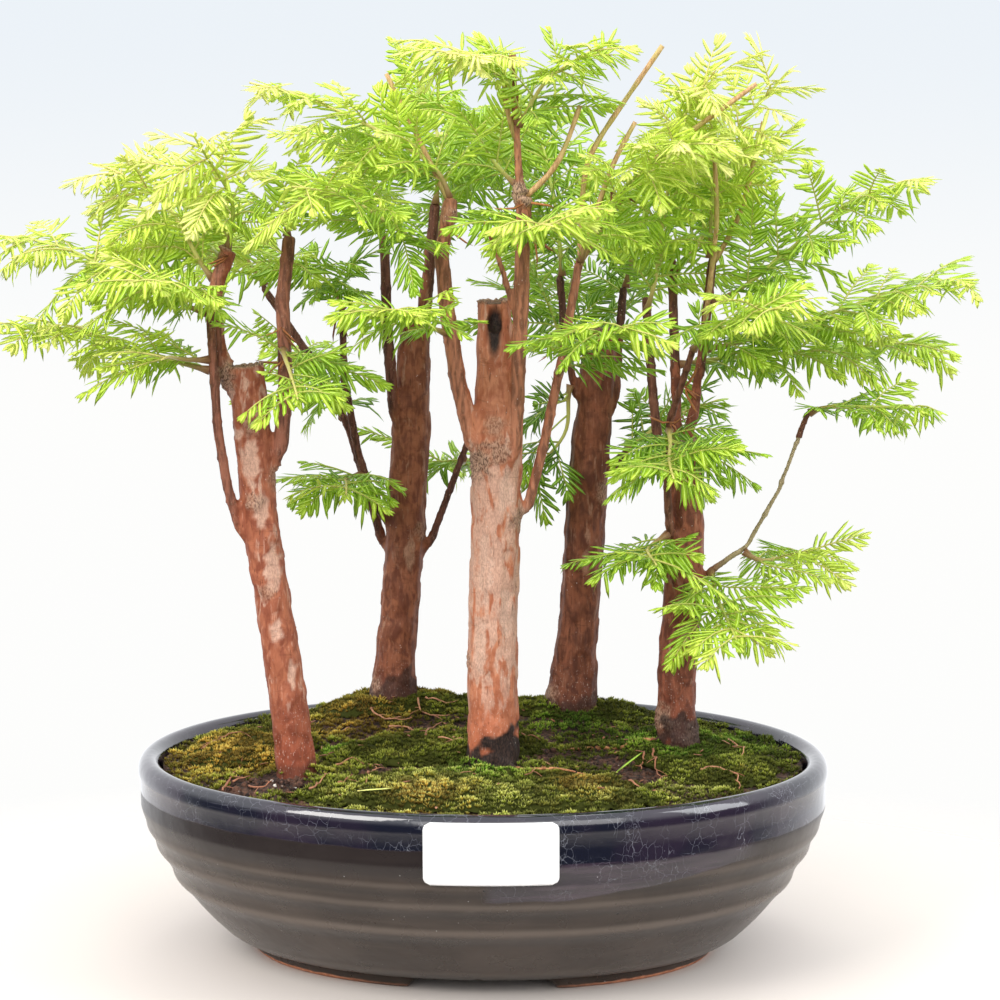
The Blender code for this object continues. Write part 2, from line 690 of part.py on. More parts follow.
def leave_limb(tree, limb, share, tip, turn):
    """Where a shoot starts, just clear of its limb, and the way that it sets off."""
    first, last, turns = LIMBS[tree][limb]
    route = [Vector(place) for place in turns]
    here, ahead = along_route(route, share)
    if share == 1:
        return here + ahead * (CLEARANCE + 0.1), ahead
    out = (tip - here) - ahead * (tip - here).dot(ahead)
    out = Quaternion(ahead, turn) @ out.normalized()
    radius = first + (last - first) * share
    leave = (out + Vector((0, 0, LEAVING_RISE))).normalized()
    return here + out * (radius + CLEARANCE + 0.25), leave


def along_route(route, share):
    """The place at this share of a route's points, and the direction there."""
    place = share * (len(route) - 1)
    low = min(int(place), len(route) - 2)
    return route[low].lerp(route[low + 1], place - low), (route[low + 1] - route[low]).normalized()


def find_shoot(name, tree, row, blocker, chance):
    """Tries routes for a shoot, each swayed more than the last, until one crosses nothing."""
    limb, share, tip = row
    tip = Vector(tip)
    for attempt in range(MOST_TRIES):
        loose = attempt / MOST_TRIES
        turn = chance.uniform(-SHOOT_TURN, SHOOT_TURN) * loose
        base, leave = leave_limb(tree, limb, share, tip, turn)
        sway = Vector([chance.uniform(-SHOOT_SWAY, SHOOT_SWAY) * loose for _ in range(3)])
        route, final = shoot_route(base, leave, tip, sway)
        if not blocker.crossed(*rod(route, SHOOT_RADIUS + CLEARANCE / 2), name):
            return route, final
    raise RuntimeError(f"no clear way for {name}")


def find_feather(name, here, final, hand, length, blocker, chance):
    """A feather that crosses nothing. Hand is 0 at the shoot's end, and its side elsewhere."""
    flat = Vector((final.x, final.y, 0)).normalized()
    for attempt in range(MOST_TRIES):
        loose = attempt / MOST_TRIES
        swing = hand * chance.uniform(*FEATHER_SWING) + chance.uniform(-1.2, 1.2) * loose
        ahead = Quaternion((0, 0, 1), swing) @ flat
        ahead.z = chance.uniform(*FEATHER_LIFT) + chance.uniform(-0.5, 0.5) * loose
        if hand == 0:
            ahead = final + Vector([chance.uniform(-0.3, 0.3) * loose for _ in range(3)])
        ahead.normalize()
        tilt = Vector([chance.uniform(-FEATHER_TILT, FEATHER_TILT) for _ in range(3)])
        up = Vector((0, 0, 1)) + flat * FEATHER_LEAN + tilt
        if ahead.cross(up).length < 0.5:
            up = Vector((0, 0, 1))
        if hand:
            length = FEATHER_LENGTH * chance.uniform(*FEATHER_SIZES)
        start = here - ahead * (0.2 if hand else 1.5)
        shape = (start, ahead, up, length * (1 - 0.35 * loose))
        if not blocker.crossed(*feather(*shape, CLEARANCE / 2), name):
            return feather(*shape)
    return None


def make_spray(name, tree, row, blocker, parts, joined, chance):
    """A leafy shoot: its stem is the slim core, and flat feathers of needles stand on it."""
    route, final = find_shoot(name, tree, row, blocker, chance)
    laterals = max(1, round((route[-1] - route[0]).length / FEATHER_SPACING))
    spots = [(1.0, 0)] + [((k + 1.2) / (laterals + 1.0), (-1) ** k) for k in range(laterals)]
    pieces = [rod(route, SHOOT_RADIUS)]
    for share, hand in spots:
        here = along_route(route, share)[0]
        length = (Vector(row[2]) - route[-1]).length
        found = find_feather(name, here, final, hand, length, blocker, chance)
        if found:
            pieces.append(found)
            closed_mesh("feather", *found, joined)
    for places, faces in pieces:
        blocker.add(places, faces, name)
    return largest_piece(boolean(closed_mesh(name, *pieces[0], parts), "UNION", joined))


def centre_on_footprint(parts):
    places = [obj.matrix_world @ v.co for obj in parts.objects for v in obj.data.vertices]
    middle = [(min(p[i] for p in places) + max(p[i] for p in places)) / 2 for i in range(2)]
    shift = Matrix.Translation((-middle[0], -middle[1], 0))
    for obj in parts.objects:
        obj.data.transform(shift @ obj.matrix_world)
        obj.matrix_world = Matrix()


def dress(parts):
    made = {name: material(name) for name in COLOURS}
    for obj in parts.objects:
        kind = obj.name.split("_")[0]
        obj.data.materials.clear()
        obj.data.materials.append(made[FINISHES[kind]])
        if kind in ROUNDED:
            obj.data.shade_smooth()
            obj.data.set_sharp_from_angle(angle=SHARP_ANGLE)


def main():
    clear_scene()
    parts = new_collection("dawn_redwood_forest")
    cutters = new_collection("cutters", hidden=True)
    joined = new_collection("joined", hidden=True)
    chance = random.Random(SEED)
    blocker = Blocker()
    blocker.add_object(make_tray(parts, cutters))
    make_screens(parts)
    soil, unbroken = make_soil(parts, cutters)
    blocker.add_object(soil)
    make_label(parts)
    cushions = [make_moss(name, unbroken, parts, cutters) for name in MOSS]
    ground = [surface_tree(mesh) for mesh in (unbroken, *(cushion.data for cushion in cushions))]
    trees = [make_tree(name, ground, parts, joined) for name in TRUNKS]
    for cushion in cushions:
        for name in TRUNKS:
            trunk_tube(name, GAP, cutters, upper=False)
        blocker.add_object(largest_piece(boolean(cushion, "DIFFERENCE", cutters)))
    for tree in trees:
        blocker.add_object(tree)
    for tree, rows in SPRAYS.items():
        for number, row in enumerate(rows, 1):
            make_spray(f"spray_{tree}_{number}", tree, row, blocker, parts, joined, chance)
    centre_on_footprint(parts)
    dress(parts)


main()
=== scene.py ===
"""A forest planting of five dawn redwoods in an oval glazed tray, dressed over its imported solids.

Sizes are in millimetres from the middle of the tray, at the height of the table, unless a line
says otherwise. +X runs to the viewer's right along the tray and -Y runs towards the viewer.
"""

import heapq
import math
import random

import bpy
import numpy as np
from mathutils import Matrix, Vector, kdtree, noise
from mathutils.bvhtree import BVHTree


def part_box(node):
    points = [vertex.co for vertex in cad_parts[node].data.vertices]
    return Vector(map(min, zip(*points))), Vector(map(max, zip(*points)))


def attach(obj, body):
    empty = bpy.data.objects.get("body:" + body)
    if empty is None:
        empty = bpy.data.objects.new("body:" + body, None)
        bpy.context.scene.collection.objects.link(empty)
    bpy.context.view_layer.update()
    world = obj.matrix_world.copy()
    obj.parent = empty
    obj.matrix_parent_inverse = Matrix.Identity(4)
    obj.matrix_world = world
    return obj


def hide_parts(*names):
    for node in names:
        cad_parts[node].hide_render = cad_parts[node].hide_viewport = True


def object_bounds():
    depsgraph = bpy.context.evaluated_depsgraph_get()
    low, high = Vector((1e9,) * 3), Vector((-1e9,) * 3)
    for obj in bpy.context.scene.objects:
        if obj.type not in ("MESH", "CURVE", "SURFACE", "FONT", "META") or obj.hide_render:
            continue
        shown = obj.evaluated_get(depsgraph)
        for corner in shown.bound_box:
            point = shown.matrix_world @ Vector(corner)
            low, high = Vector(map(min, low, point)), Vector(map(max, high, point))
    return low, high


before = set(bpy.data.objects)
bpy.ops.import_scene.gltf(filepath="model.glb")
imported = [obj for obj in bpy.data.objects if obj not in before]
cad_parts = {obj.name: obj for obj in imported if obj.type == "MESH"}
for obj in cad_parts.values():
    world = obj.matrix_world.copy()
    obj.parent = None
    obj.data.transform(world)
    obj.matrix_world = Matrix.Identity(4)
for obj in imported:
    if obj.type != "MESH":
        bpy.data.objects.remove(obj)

solid_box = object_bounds()

# Tray: stoneware, turned on the wheel and squeezed to an oval. Its satin body was dipped once more
# at the rim, in a glossy glaze that has crazed. The feet and the underside are bare, fired clay.
MM = 0.001
TRAY_LOW, TRAY_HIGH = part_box("tray")
MIDDLE = np.array([(TRAY_LOW.x + TRAY_HIGH.x) / 2, (TRAY_LOW.y + TRAY_HIGH.y) / 2, 0]) / MM
# The tray is turned, so the points of its profile are a radius and a height.
CORE = 0.5  # a turned surface is closed with a flat face at this radius
TRAY_FLOOR = 14.0
INNER_WALL = ((70.0, TRAY_FLOOR), (98.0, 15.5), (112.0, 28.0), (123.0, 52.0), (126.4, 66.0))
RIM_INNER = 127.7
RIM_MIDDLE = (132.0, 73.6)
RIM_ROLL = (4.5, 5.6)  # half its width and half its height
ROLL_ANGLES = range(-78, 118, 8)  # degrees from the top of the roll, from inside to outside
WALL_HEIGHTS = np.linspace(66, 6, 90)
WALL_TOP = 60.0
WALL_LOW = 4.0
WALL_FOOT = 91.0
WALL_REACH = 43.9
BELLY = (1.2, 0.65)  # the powers that shape the wall's curve
RIDGES = ((51.5, 0.7, 2.2), (43.0, 1.0, 2.6), (31.0, 1.4, 3.2), (9.5, 0.4, 2.0))  # height, rise and reach
RIDGE_BASE = 0.8
FOOT_RING = ((92.2, 5.0), (91.6, 1.2), (90.6, 0.2), (89.6, 0.0), (82.0, 0.0), (81.0, 0.3), (80.2, 5.4))
FOOT_INNER = 77.0
UNDERSIDE = 6.0
SQUEEZE = 0.78  # the oval's depth to its width at the rim's inner edge
SQUEEZE_LOSS = 0.003  # what that loses with each millimetre inwards, down to this radius
SQUEEZE_END = 90.0
SQUEEZE_MOST = 0.7896
ARCH_HALF = 27.0
ARCH_SKEW = 5.0
ARCH_HEIGHT = 4.6
ARCH_FLARE = 5.0
DRAIN_RADIUS = 8.0
DRAIN_OFFSET = 52.0
DRAIN_STEPS = 48
DRILL_HEIGHT = 10.0
DRILL_LENGTH = 30.0
TRAY_STEPS = 216
HAND_WOBBLE = 0.25  # how far the wall strays from true at this radius, in waves of this width
WOBBLE_RADIUS = 136.0
WOBBLE_WIDTH = 45.0
DIP_LINE = (66.0, 60.8)  # where the rim's glaze ends, left and right of the front
RUN_LINE = 46.5  # where a thinner run of it ends on the right, and how much higher at the far end
RUN_CLIMB = 9
BARE_LINE = 1.5  # below this the clay is bare


class Value:
    """A socket among nodes. Sums and products of it are written as Python expressions."""

    def __init__(self, nodes, socket):
        self.nodes, self.socket = nodes, socket

    def math(self, operation, *values):
        return self.nodes.node("Math", {"operation": operation}, dict(enumerate(values)))

    def __add__(self, other):
        return self.math("ADD", self, other)

    def __sub__(self, other):
        return self.math("SUBTRACT", self, other)

    def __rsub__(self, other):
        return self.math("SUBTRACT", other, self)

    def __mul__(self, other):
        return self.math("MULTIPLY", self, other)

    def __abs__(self):
        return self.math("ABSOLUTE", self)

    __radd__ = __add__
    __rmul__ = __mul__

    def step(self, low, high):
        """0 at low and below, 1 at high and above, with a soft slope between."""
        reach = {"Value": self, "From Min": low, "From Max": high}
        return self.nodes.node("MapRange", {"interpolation_type": "SMOOTHSTEP"}, reach)


class Nodes:
    """Adds nodes to one tree."""

    def __init__(self, tree):
        self.tree = tree

    def node(self, kind, settings, inputs, output=0):
        """One node and its output. A ramp's stops are among its settings."""
        made = self.tree.nodes.new("ShaderNode" + kind)
        for name, value in settings.items():
            if name == "stops":
                self.lay(made.color_ramp.elements, value)
            else:
                setattr(made, name, value)
        for name, value in inputs.items():
            self.feed(made.inputs[name], value)
        return Value(self, made.outputs[output])

    def lay(self, elements, stops):
        """A colour at each of these places along a ramp, which starts with two."""
        for _ in stops[2:]:
            elements.new(1.0)
        for element, (place, colour) in zip(elements, stops):
            element.position = place
            element.color = (*colour, 1)

    def feed(self, socket, value):
        if isinstance(value, Value):
            self.tree.links.new(value.socket, socket)
        elif socket.type == "RGBA":
            socket.default_value = (*value, 1)
        else:
            socket.default_value = value

    def mix(self, share, first, second):
        return self.node("Mix", {"data_type": "RGBA"}, {0: share, 6: first, 7: second}, 2)


class Finish(Nodes):
    """A procedural material. Lengths in it are millimetres on the real piece."""

    def __init__(self, name, **constants):
        self.material = bpy.data.materials.new(name)
        self.material.use_nodes = True
        super().__init__(self.material.node_tree)
        self.shader = self.tree.nodes["Principled BSDF"]
        self.place = self.node("TexCoord", {}, {}, "Object")
        for socket, value in constants.items():
            self.set(socket.replace("_", " "), value)

    def set(self, socket, value):
        self.feed(self.shader.inputs[socket], value)

    def cells(self, size):
        """The place on the piece, counted in cells of this size, or of a size for each axis."""
        sizes = size if isinstance(size, tuple) else (size,) * 3
        scale = tuple(1 / (MM * one) for one in sizes)
        return self.node("VectorMath", {"operation": "MULTIPLY"}, {0: self.place, 1: scale})

    def axis(self, name):
        """How far along X, Y or Z from the middle of the tray."""
        whole = self.node("SeparateXYZ", {}, {"Vector": self.cells(1.0)}, name)
        return whole - float(MIDDLE["XYZ".index(name)])

    def noise(self, size, detail=2.0, distortion=0.0):
        inputs = {"Vector": self.cells(size), "Scale": 1.0, "Detail": detail, "Distortion": distortion}
        return self.node("TexNoise", {}, inputs, "Fac")

    def cracks(self, size, width, bend=0.8):
        """1 on the borders between wandering cells, which are lines of this share of a cell."""
        swirl = self.node("TexNoise", {}, {"Vector": self.cells(size), "Scale": 1.3}, "Color")
        push = self.node("VectorMath", {"operation": "MULTIPLY"}, {0: swirl, 1: (bend,) * 3})
        place = self.node("VectorMath", {"operation": "ADD"}, {0: self.cells(size), 1: push})
        inputs = {"Vector": place, "Scale": 1.0}
        edge = self.node("TexVoronoi", {"feature": "DISTANCE_TO_EDGE"}, inputs, "Distance")
        return 1 - edge.step(0.0, width)

    def spots(self, size, radius):
        """1 in a round spot within each cell."""
        inputs = {"Vector": self.cells(size), "Scale": 1.0}
        return 1 - self.node("TexVoronoi", {}, inputs, "Distance").step(radius * 0.6, radius)

    def attribute(self, name):
        return self.node("Attribute", {"attribute_name": name}, {}, "Fac")

    def bump(self, relief, depth):
        """The relief, from 0 to 1, stands this many millimetres high."""
        self.set("Normal", self.node("Bump", {}, {"Height": relief, "Distance": depth * MM}, "Normal"))


def new_object(name, data):
    obj = bpy.data.objects.new(name, data)
    bpy.context.scene.collection.objects.link(obj)
    return obj


def evaluated_mesh(obj):
    """The mesh that an object's modifiers make."""
    bpy.context.view_layer.update()
    return bpy.data.meshes.new_from_object(obj.evaluated_get(bpy.context.evaluated_depsgraph_get()))


def write_marks(mesh, marks):
    """Marks are numbers at the points of a mesh, which its finish reads by name."""
    for mark, values in marks.items():
        mesh.attributes.new(mark, "FLOAT", "POINT").data.foreach_set("value", np.float32(values))


def add_piece(name, places, faces, finish, slot, *nodes, smooth=True, marks=None):
    """A piece from points in millimetres, which stands for the solid nodes that are named."""
    mesh = bpy.data.meshes.new(name)
    mesh.from_pydata(((np.asarray(places) + MIDDLE) * MM).tolist(), [], faces)
    write_marks(mesh, marks or {})
    return finish_piece(new_object(name, mesh), finish, slot, *nodes, smooth=smooth)


def finish_piece(obj, finish, slot, *nodes, smooth=True):
    obj.data.materials.clear()
    obj.data.materials.append(finish.material)
    if smooth:
        obj.data.shade_smooth()
    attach(obj, "root")
    if nodes:
        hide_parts(*nodes)
    return obj


def oval(radius, turn):
    """A turned point squeezed along Y, more at the foot than at the rim."""
    ratio = min(SQUEEZE - SQUEEZE_LOSS * (RIM_INNER - max(radius, SQUEEZE_END)), SQUEEZE_MOST)
    return radius * math.cos(turn), radius * ratio * math.sin(turn)


def oval_ring(radius, steps):
    return [oval(radius, math.tau * k / steps) for k in range(steps)]


def wall_half_width(height):
    """The outside of the wall, with the soft ridges left by the thrower's fingers."""
    depth = min((WALL_TOP - min(height, WALL_TOP)) / (WALL_TOP - WALL_LOW), 1)
    ridge = sum(rise * math.exp(-((height - middle) / reach) ** 2) for middle, rise, reach in RIDGES)
    return WALL_FOOT + WALL_REACH * (1 - depth ** BELLY[0]) ** BELLY[1] + ridge + RIDGE_BASE


def arch_lift(x, y):
    """How far the foot is cut away, in front and behind."""
    from_middle = abs(x + ARCH_SKEW * math.copysign(1, y))
    share = min(max((ARCH_HALF + ARCH_FLARE / 2 - from_middle) / ARCH_FLARE, 0), 1)
    return ARCH_HEIGHT * share * share * (3 - 2 * share)


def turned_faces(rings, steps):
    faces = [(i * steps + k, i * steps + (k + 1) % steps, (i + 1) * steps + (k + 1) % steps,
              (i + 1) * steps + k) for i in range(rings - 1) for k in range(steps)]
    return faces + [tuple(reversed(range(steps))), tuple(range((rings - 1) * steps, rings * steps))]


roll = [(RIM_MIDDLE[0] + RIM_ROLL[0] * math.sin(math.radians(angle)),
         RIM_MIDDLE[1] + RIM_ROLL[1] * math.cos(math.radians(angle))) for angle in ROLL_ANGLES]
wall = [(wall_half_width(height), height) for height in WALL_HEIGHTS]
inside = [(CORE, TRAY_FLOOR), *INNER_WALL, *roll]
profile = [*inside, *wall, *FOOT_RING, (FOOT_INNER, UNDERSIDE), (CORE, UNDERSIDE)]
places = []
for radius, height in profile:
    for x, y in oval_ring(radius, TRAY_STEPS):
        wobble = 1 + HAND_WOBBLE * noise.noise(Vector((x, y, height)) / WOBBLE_WIDTH) / WOBBLE_RADIUS
        cut = height < ARCH_HEIGHT and radius > FOOT_INNER
        places.append((x * wobble, y * wobble, max(height, arch_lift(x, y)) if cut else height))

# How far down the glossy glaze goes, with its thinner run on the right, and where the clay is bare.
glaze = Finish("glaze", Coat_Roughness=0.08)
x, y, z = glaze.axis("X"), glaze.axis("Y"), glaze.axis("Z")
wander = glaze.noise(22.0) * 1.6 - 0.8
dip_line = DIP_LINE[0] - x.step(-5, 30) * (DIP_LINE[0] - DIP_LINE[1])
rim = (z + wander - dip_line).step(-0.35, 0.35)
run = (z + wander * 2 - (RUN_LINE + (x - 30).step(0, 90) * RUN_CLIMB)).step(-0.5, 0.5)
run = run * x.step(8, 14) * (1 - (x + wander * 8).step(96, 112)) * (1 - y.step(-60, -40))
dipped = rim + (1 - rim) * run * 0.85
bare = 1 - (z + glaze.noise(5.0, 3) * 1.2 - 0.6).step(BARE_LINE - 0.3, BARE_LINE + 0.3)
bare = bare * (0.25 + abs(x).step(30, 60) * 0.75)
# The brown body. Its glaze has run off each ridge and lies thick beneath it. The light band on each ridge's
# upper side is partly a painted highlight, and the dark band beneath it partly painted shade.
body = glaze.mix(glaze.noise(26.0, 3).step(0.35, 0.7), (0.025, 0.016, 0.011), (0.044, 0.031, 0.023))
body = glaze.mix(glaze.noise((70.0, 70.0, 3.5), 2).step(0.50, 0.75) * 0.35, body, (0.066, 0.050, 0.039))
for height, rise, reach in RIDGES:
    past = z + wander * 0.5 - height
    body = glaze.mix((1 - abs(past - 0.8).step(0.2, reach * 0.8)) * 0.40 * rise, body, (0.150, 0.120, 0.098))
    body = glaze.mix((1 - abs(past + reach * 1.25).step(0.3, reach)) * 0.45, body, (0.009, 0.006, 0.005))
# Painted shade: the body is darker towards its top, under the rim's roll.
body = glaze.mix((z - 55).step(-3, 3) * 0.7, body, (0.010, 0.007, 0.008))
scuffs = glaze.noise((9.0, 9.0, 1.0), 4).step(0.72, 0.80)
body = glaze.mix(scuffs * 0.25, body, (0.26, 0.24, 0.22))
# The glossy glaze: nearly black at the rim, plum where it runs thin, streaked and crazed.
dark = glaze.mix(glaze.noise(30.0, 2).step(0.40, 0.64), (0.003, 0.004, 0.012), (0.015, 0.009, 0.021))
streaks = glaze.noise((26.0, 26.0, 0.8), 3).step(0.62, 0.80) * glaze.noise(20.0, 1).step(0.45, 0.6)
dark = glaze.mix(streaks * 0.22, dark, (0.22, 0.22, 0.27))
bands = glaze.noise((30.0, 30.0, 2.5), 3).step(0.4, 0.7)
thin = glaze.mix(bands, (0.010, 0.006, 0.016), (0.044, 0.029, 0.044))
glossy = glaze.mix(rim, thin, dark)
crazing = glaze.cracks(4.6, 0.017, 0.7) * glaze.noise(17.0, 1).step(0.44, 0.64)
crazing = crazing + glaze.cracks((2.8, 2.8, 6.0), 0.022, 0.6) * glaze.noise(13.0, 1).step(0.54, 0.68)
glossy = glaze.mix(crazing * 0.30, glossy, (0.42, 0.44, 0.50))
# The two together, with specks, pinholes and the bare clay of the feet.
coloured = glaze.mix(dipped, body, glossy)
coloured = glaze.mix(glaze.spots(7.0, 0.035) * 0.7, coloured, (0.46, 0.45, 0.44))
pits = glaze.spots(17.0, 0.035)
coloured = glaze.mix(pits, coloured, (0.004, 0.004, 0.004))
clay = glaze.mix(glaze.noise(2.0, 4).step(0.3, 0.7), (0.36, 0.13, 0.065), (0.56, 0.24, 0.13))
glaze.set("Base Color", glaze.mix(bare, coloured, clay))
satin = 0.23 + glaze.noise(12.0, 3) * 0.10 - dipped * 0.20
glaze.set("Roughness", satin * (1 - bare) + bare * 0.85)
glaze.set("Coat Weight", dipped * (1 - bare) * 0.7)
ripple = glaze.noise(11.0, 2) + glaze.noise((3.0, 3.0, 1.6), 2) * dipped * 0.10
glaze.bump(ripple + pits * -0.6 + bare * glaze.noise(0.6, 2) * 0.4, 0.30)
tray = add_piece("tray_glazed", places, turned_faces(len(profile), TRAY_STEPS), glaze,
                 "glazed_stoneware", "tray")
for x in (-DRAIN_OFFSET, DRAIN_OFFSET):
    at = (Vector(MIDDLE) + Vector((x, 0, DRILL_HEIGHT))) * MM
    bpy.ops.mesh.primitive_cylinder_add(vertices=DRAIN_STEPS, radius=DRAIN_RADIUS * MM,
                                        depth=DRILL_LENGTH * MM, location=at)
    drill = bpy.context.object
    tray.modifiers.new("drain", "BOOLEAN").object = drill
    bored = evaluated_mesh(tray)
    tray.modifiers.clear()
    tray.data = bored
    bpy.data.objects.remove(drill)

# Label: a small blank paper sticker with round corners, pressed on the wall just under the rim.
# It bends only one way, as stiff paper does, and bridges the groove behind it.
LABEL_MIDDLE = (12.5, 65.5)
LABEL_SIZE = (49.0, 23.0)
LABEL_CORNER = 2.8
LABEL_CORNER_LEAST = 0.04  # the square of the little that a corner reaches out at the very edge
LABEL_THICKNESS = 0.3
LABEL_PROUD = 0.3
LABEL_CURL = (0.3, 0.85)  # how far its long edges lift, from which share of its height
LABEL_GRID = (48, 24)
LABEL_WIDTH = 136.8  # half the width of the oval that its paper follows


def face_half_width(height):
    """Where the paper lies: straight up the wall, and over the rim's roll above it."""
    past = max(height - RIM_MIDDLE[1], 0) / RIM_ROLL[1]
    return LABEL_WIDTH - RIM_ROLL[0] * (1 - math.sqrt(1 - past * past))


def sheet_faces(count, wide):
    """The squares of a sheet of this many points, in rows this many points wide."""
    return [(i, i + 1, i + wide + 1, i + wide) for i in range(count - wide) if (i + 1) % wide]


label_places = []
for row in range(LABEL_GRID[1] + 1):
    up = LABEL_SIZE[1] * (row / LABEL_GRID[1] - 0.5)
    past = max(0, abs(up) - LABEL_SIZE[1] / 2 + LABEL_CORNER)
    corner = math.sqrt(max(LABEL_CORNER ** 2 - past ** 2, LABEL_CORNER_LEAST))
    half = LABEL_SIZE[0] / 2 - LABEL_CORNER + corner
    loose = LABEL_CURL[0] * max(0, abs(up) / LABEL_SIZE[1] * 2 - LABEL_CURL[1])
    z = LABEL_MIDDLE[1] + up
    width = face_half_width(z)
    for column in range(LABEL_GRID[0] + 1):
        x = LABEL_MIDDLE[0] + half * (2 * column / LABEL_GRID[0] - 1)
        curl = loose * noise.noise(Vector((x / 9, z, 3)))
        y = -SQUEEZE_MOST * math.sqrt(width ** 2 - x ** 2) - LABEL_PROUD - abs(curl)
        label_places.append((x, y, z))
label_faces = sheet_faces(len(label_places), LABEL_GRID[0] + 1)
paper = Finish("label_paper", Roughness=0.42)
fibre = paper.noise(0.5, 4)
scuff = paper.noise((8.0, 8.0, 3.0), 3).step(0.55, 0.75)
white = paper.mix(scuff * 0.5, (0.86, 0.87, 0.87), (0.78, 0.79, 0.80))
paper.set("Base Color", paper.mix(fibre * 0.12, white, (0.70, 0.70, 0.70)))
paper.bump(fibre, 0.05)
label = add_piece("label_blank", label_places, label_faces, paper, "label_paper", "label")
thick = label.modifiers.new("paper", "SOLIDIFY")
thick.thickness = LABEL_THICKNESS * MM
thick.offset = -1

# Drainage screens: a square of woven plastic mesh lies over each hole, under the soil.
SCREEN_HALF = 14.0
SCREEN_PITCH = 2.0
SCREEN_WIRE = 0.7
SCREEN_HEIGHT = 14.8

plastic = Finish("screen_plastic", Roughness=0.5)
plastic.set("Base Color", plastic.mix(plastic.noise(3.0, 2), (0.016, 0.016, 0.017), (0.040, 0.040, 0.042)))
plastic.bump(plastic.noise(0.4, 2), 0.03)
count = int(2 * SCREEN_HALF / SCREEN_PITCH)
for side, name in ((-1, "left"), (1, "right")):
    net = [(side * DRAIN_OFFSET + SCREEN_PITCH * (i - count / 2), SCREEN_PITCH * (j - count / 2),
            SCREEN_HEIGHT) for j in range(count + 1) for i in range(count + 1)]
    screen = add_piece("screen_net_" + name, net, sheet_faces(len(net), count + 1), plastic,
                       "plastic_mesh", "drainage_screen_" + name)
    screen.modifiers.new("wires", "WIREFRAME").thickness = SCREEN_WIRE * MM

# Soil: a dark, crumbly mix of bark, grit and spent compost that fills the tray, with a mound at
# each of the two trees behind. Loose crumbs lie where the moss has not closed over it.
SOIL_EDGE = 74.5
SOIL_REACH = 126.6
SOIL_CROWN = (6.5, 127.0, 99.0)  # how high it swells, and half the swelling's width and depth
SOIL_FLOOR = ((122.4, 52.0), (111.4, 28.6), (97.4, 16.2), (70.0, 15.8), (CORE, 15.8))
MOUNDS = ((-40, 52, 34, 10), (33, 45, 32, 8))  # x, y, width and rise
SOIL_RINGS = 56
SOIL_STEPS = 128
LUMP_CORNER = 1.9  # how far the corners of a crumb's shape lie from its middle, in half edges
CRUMBS = 6500
CRUMB_REACH = 0.985 * SOIL_REACH
CRUMB_SIZES = (0.5, 0.7, 0.9, 1.3, 1.7)
CRUMB_LIFT = 0.3  # how far it stands above the ground, in parts of its size
CRUMBS_SEEN = 0.35  # crumbs lie only where the soil is this bare
CHALKY_SHARE = 0.015
CHALKY_SIZE = 1.3  # a chalky crumb is smaller than this
# Where the moss has left the soil bare: x, y and reach.
BARE = ((-80, -60, 13), (-70, -58, 10), (34, -50, 10), (62, -42, 12), (88, 2, 8), (-34, -46, 9), (-20, 8, 13),
        (20, -14, 12), (-8, 60, 12), (104, -30, 7), (-44, 0, 8), (-96, 22, 8), (52, -24, 9))


def soil_height(x, y):
    rise, half_x, half_y = SOIL_CROWN
    crown = rise * max(0, 1 - (x / half_x) ** 2 - (y / half_y) ** 2)
    return SOIL_EDGE + crown + sum(height * math.exp(-((x - mx) ** 2 + (y - my) ** 2) / reach ** 2)
                                   for mx, my, reach, height in MOUNDS)


def patches(x, y, layer, width):
    """Soft bumps of this width over the ground, from about -1 to 1, and others on each layer."""
    return noise.noise(Vector((x, y, layer)) / width)


def grain(x, y):
    """The lumps of the soil's surface."""
    lumps = patches(x, y, 7, 3.2) + 0.6 * patches(x, y, 2, 1.3)
    return 0.7 * patches(x, y, 4, 11) + 0.45 * lumps


def nearness(x, y, spots):
    """1 in the middle of one of the spots, and less away from them."""
    return max(math.exp(-((x - sx) ** 2 + (y - sy) ** 2) / reach ** 2) for sx, sy, reach in spots)


soil_places = []
for row in range(SOIL_RINGS):
    radius = CORE + (SOIL_REACH - CORE) * row / (SOIL_RINGS - 1)
    soil_places += [(x, y, soil_height(x, y) + grain(x, y)) for x, y in oval_ring(radius, SOIL_STEPS)]
for radius, height in SOIL_FLOOR:
    soil_places += [(x, y, height) for x, y in oval_ring(radius, SOIL_STEPS)]
soil_faces = turned_faces(SOIL_RINGS + len(SOIL_FLOOR), SOIL_STEPS)
earth = Finish("soil", Roughness=0.93)
lumps = earth.noise(2.4, 5)
brown = earth.mix(lumps.step(0.35, 0.68), (0.014, 0.006, 0.004), (0.100, 0.042, 0.024))
brown = earth.mix(earth.noise(1.1, 3).step(0.62, 0.72) * 0.6, brown, (0.24, 0.125, 0.075))
brown = earth.mix(earth.spots(4.0, 0.10) * 0.5, brown, (0.5, 0.46, 0.4))
earth.set("Base Color", earth.mix(earth.attribute("chalky"), brown, (0.66, 0.62, 0.56)))
earth.bump(lumps + earth.noise(0.5, 3) * 0.5, 0.9)
add_piece("soil_surface", soil_places, soil_faces, earth, "soil", "soil",
          marks={"chalky": np.zeros(len(soil_places))})

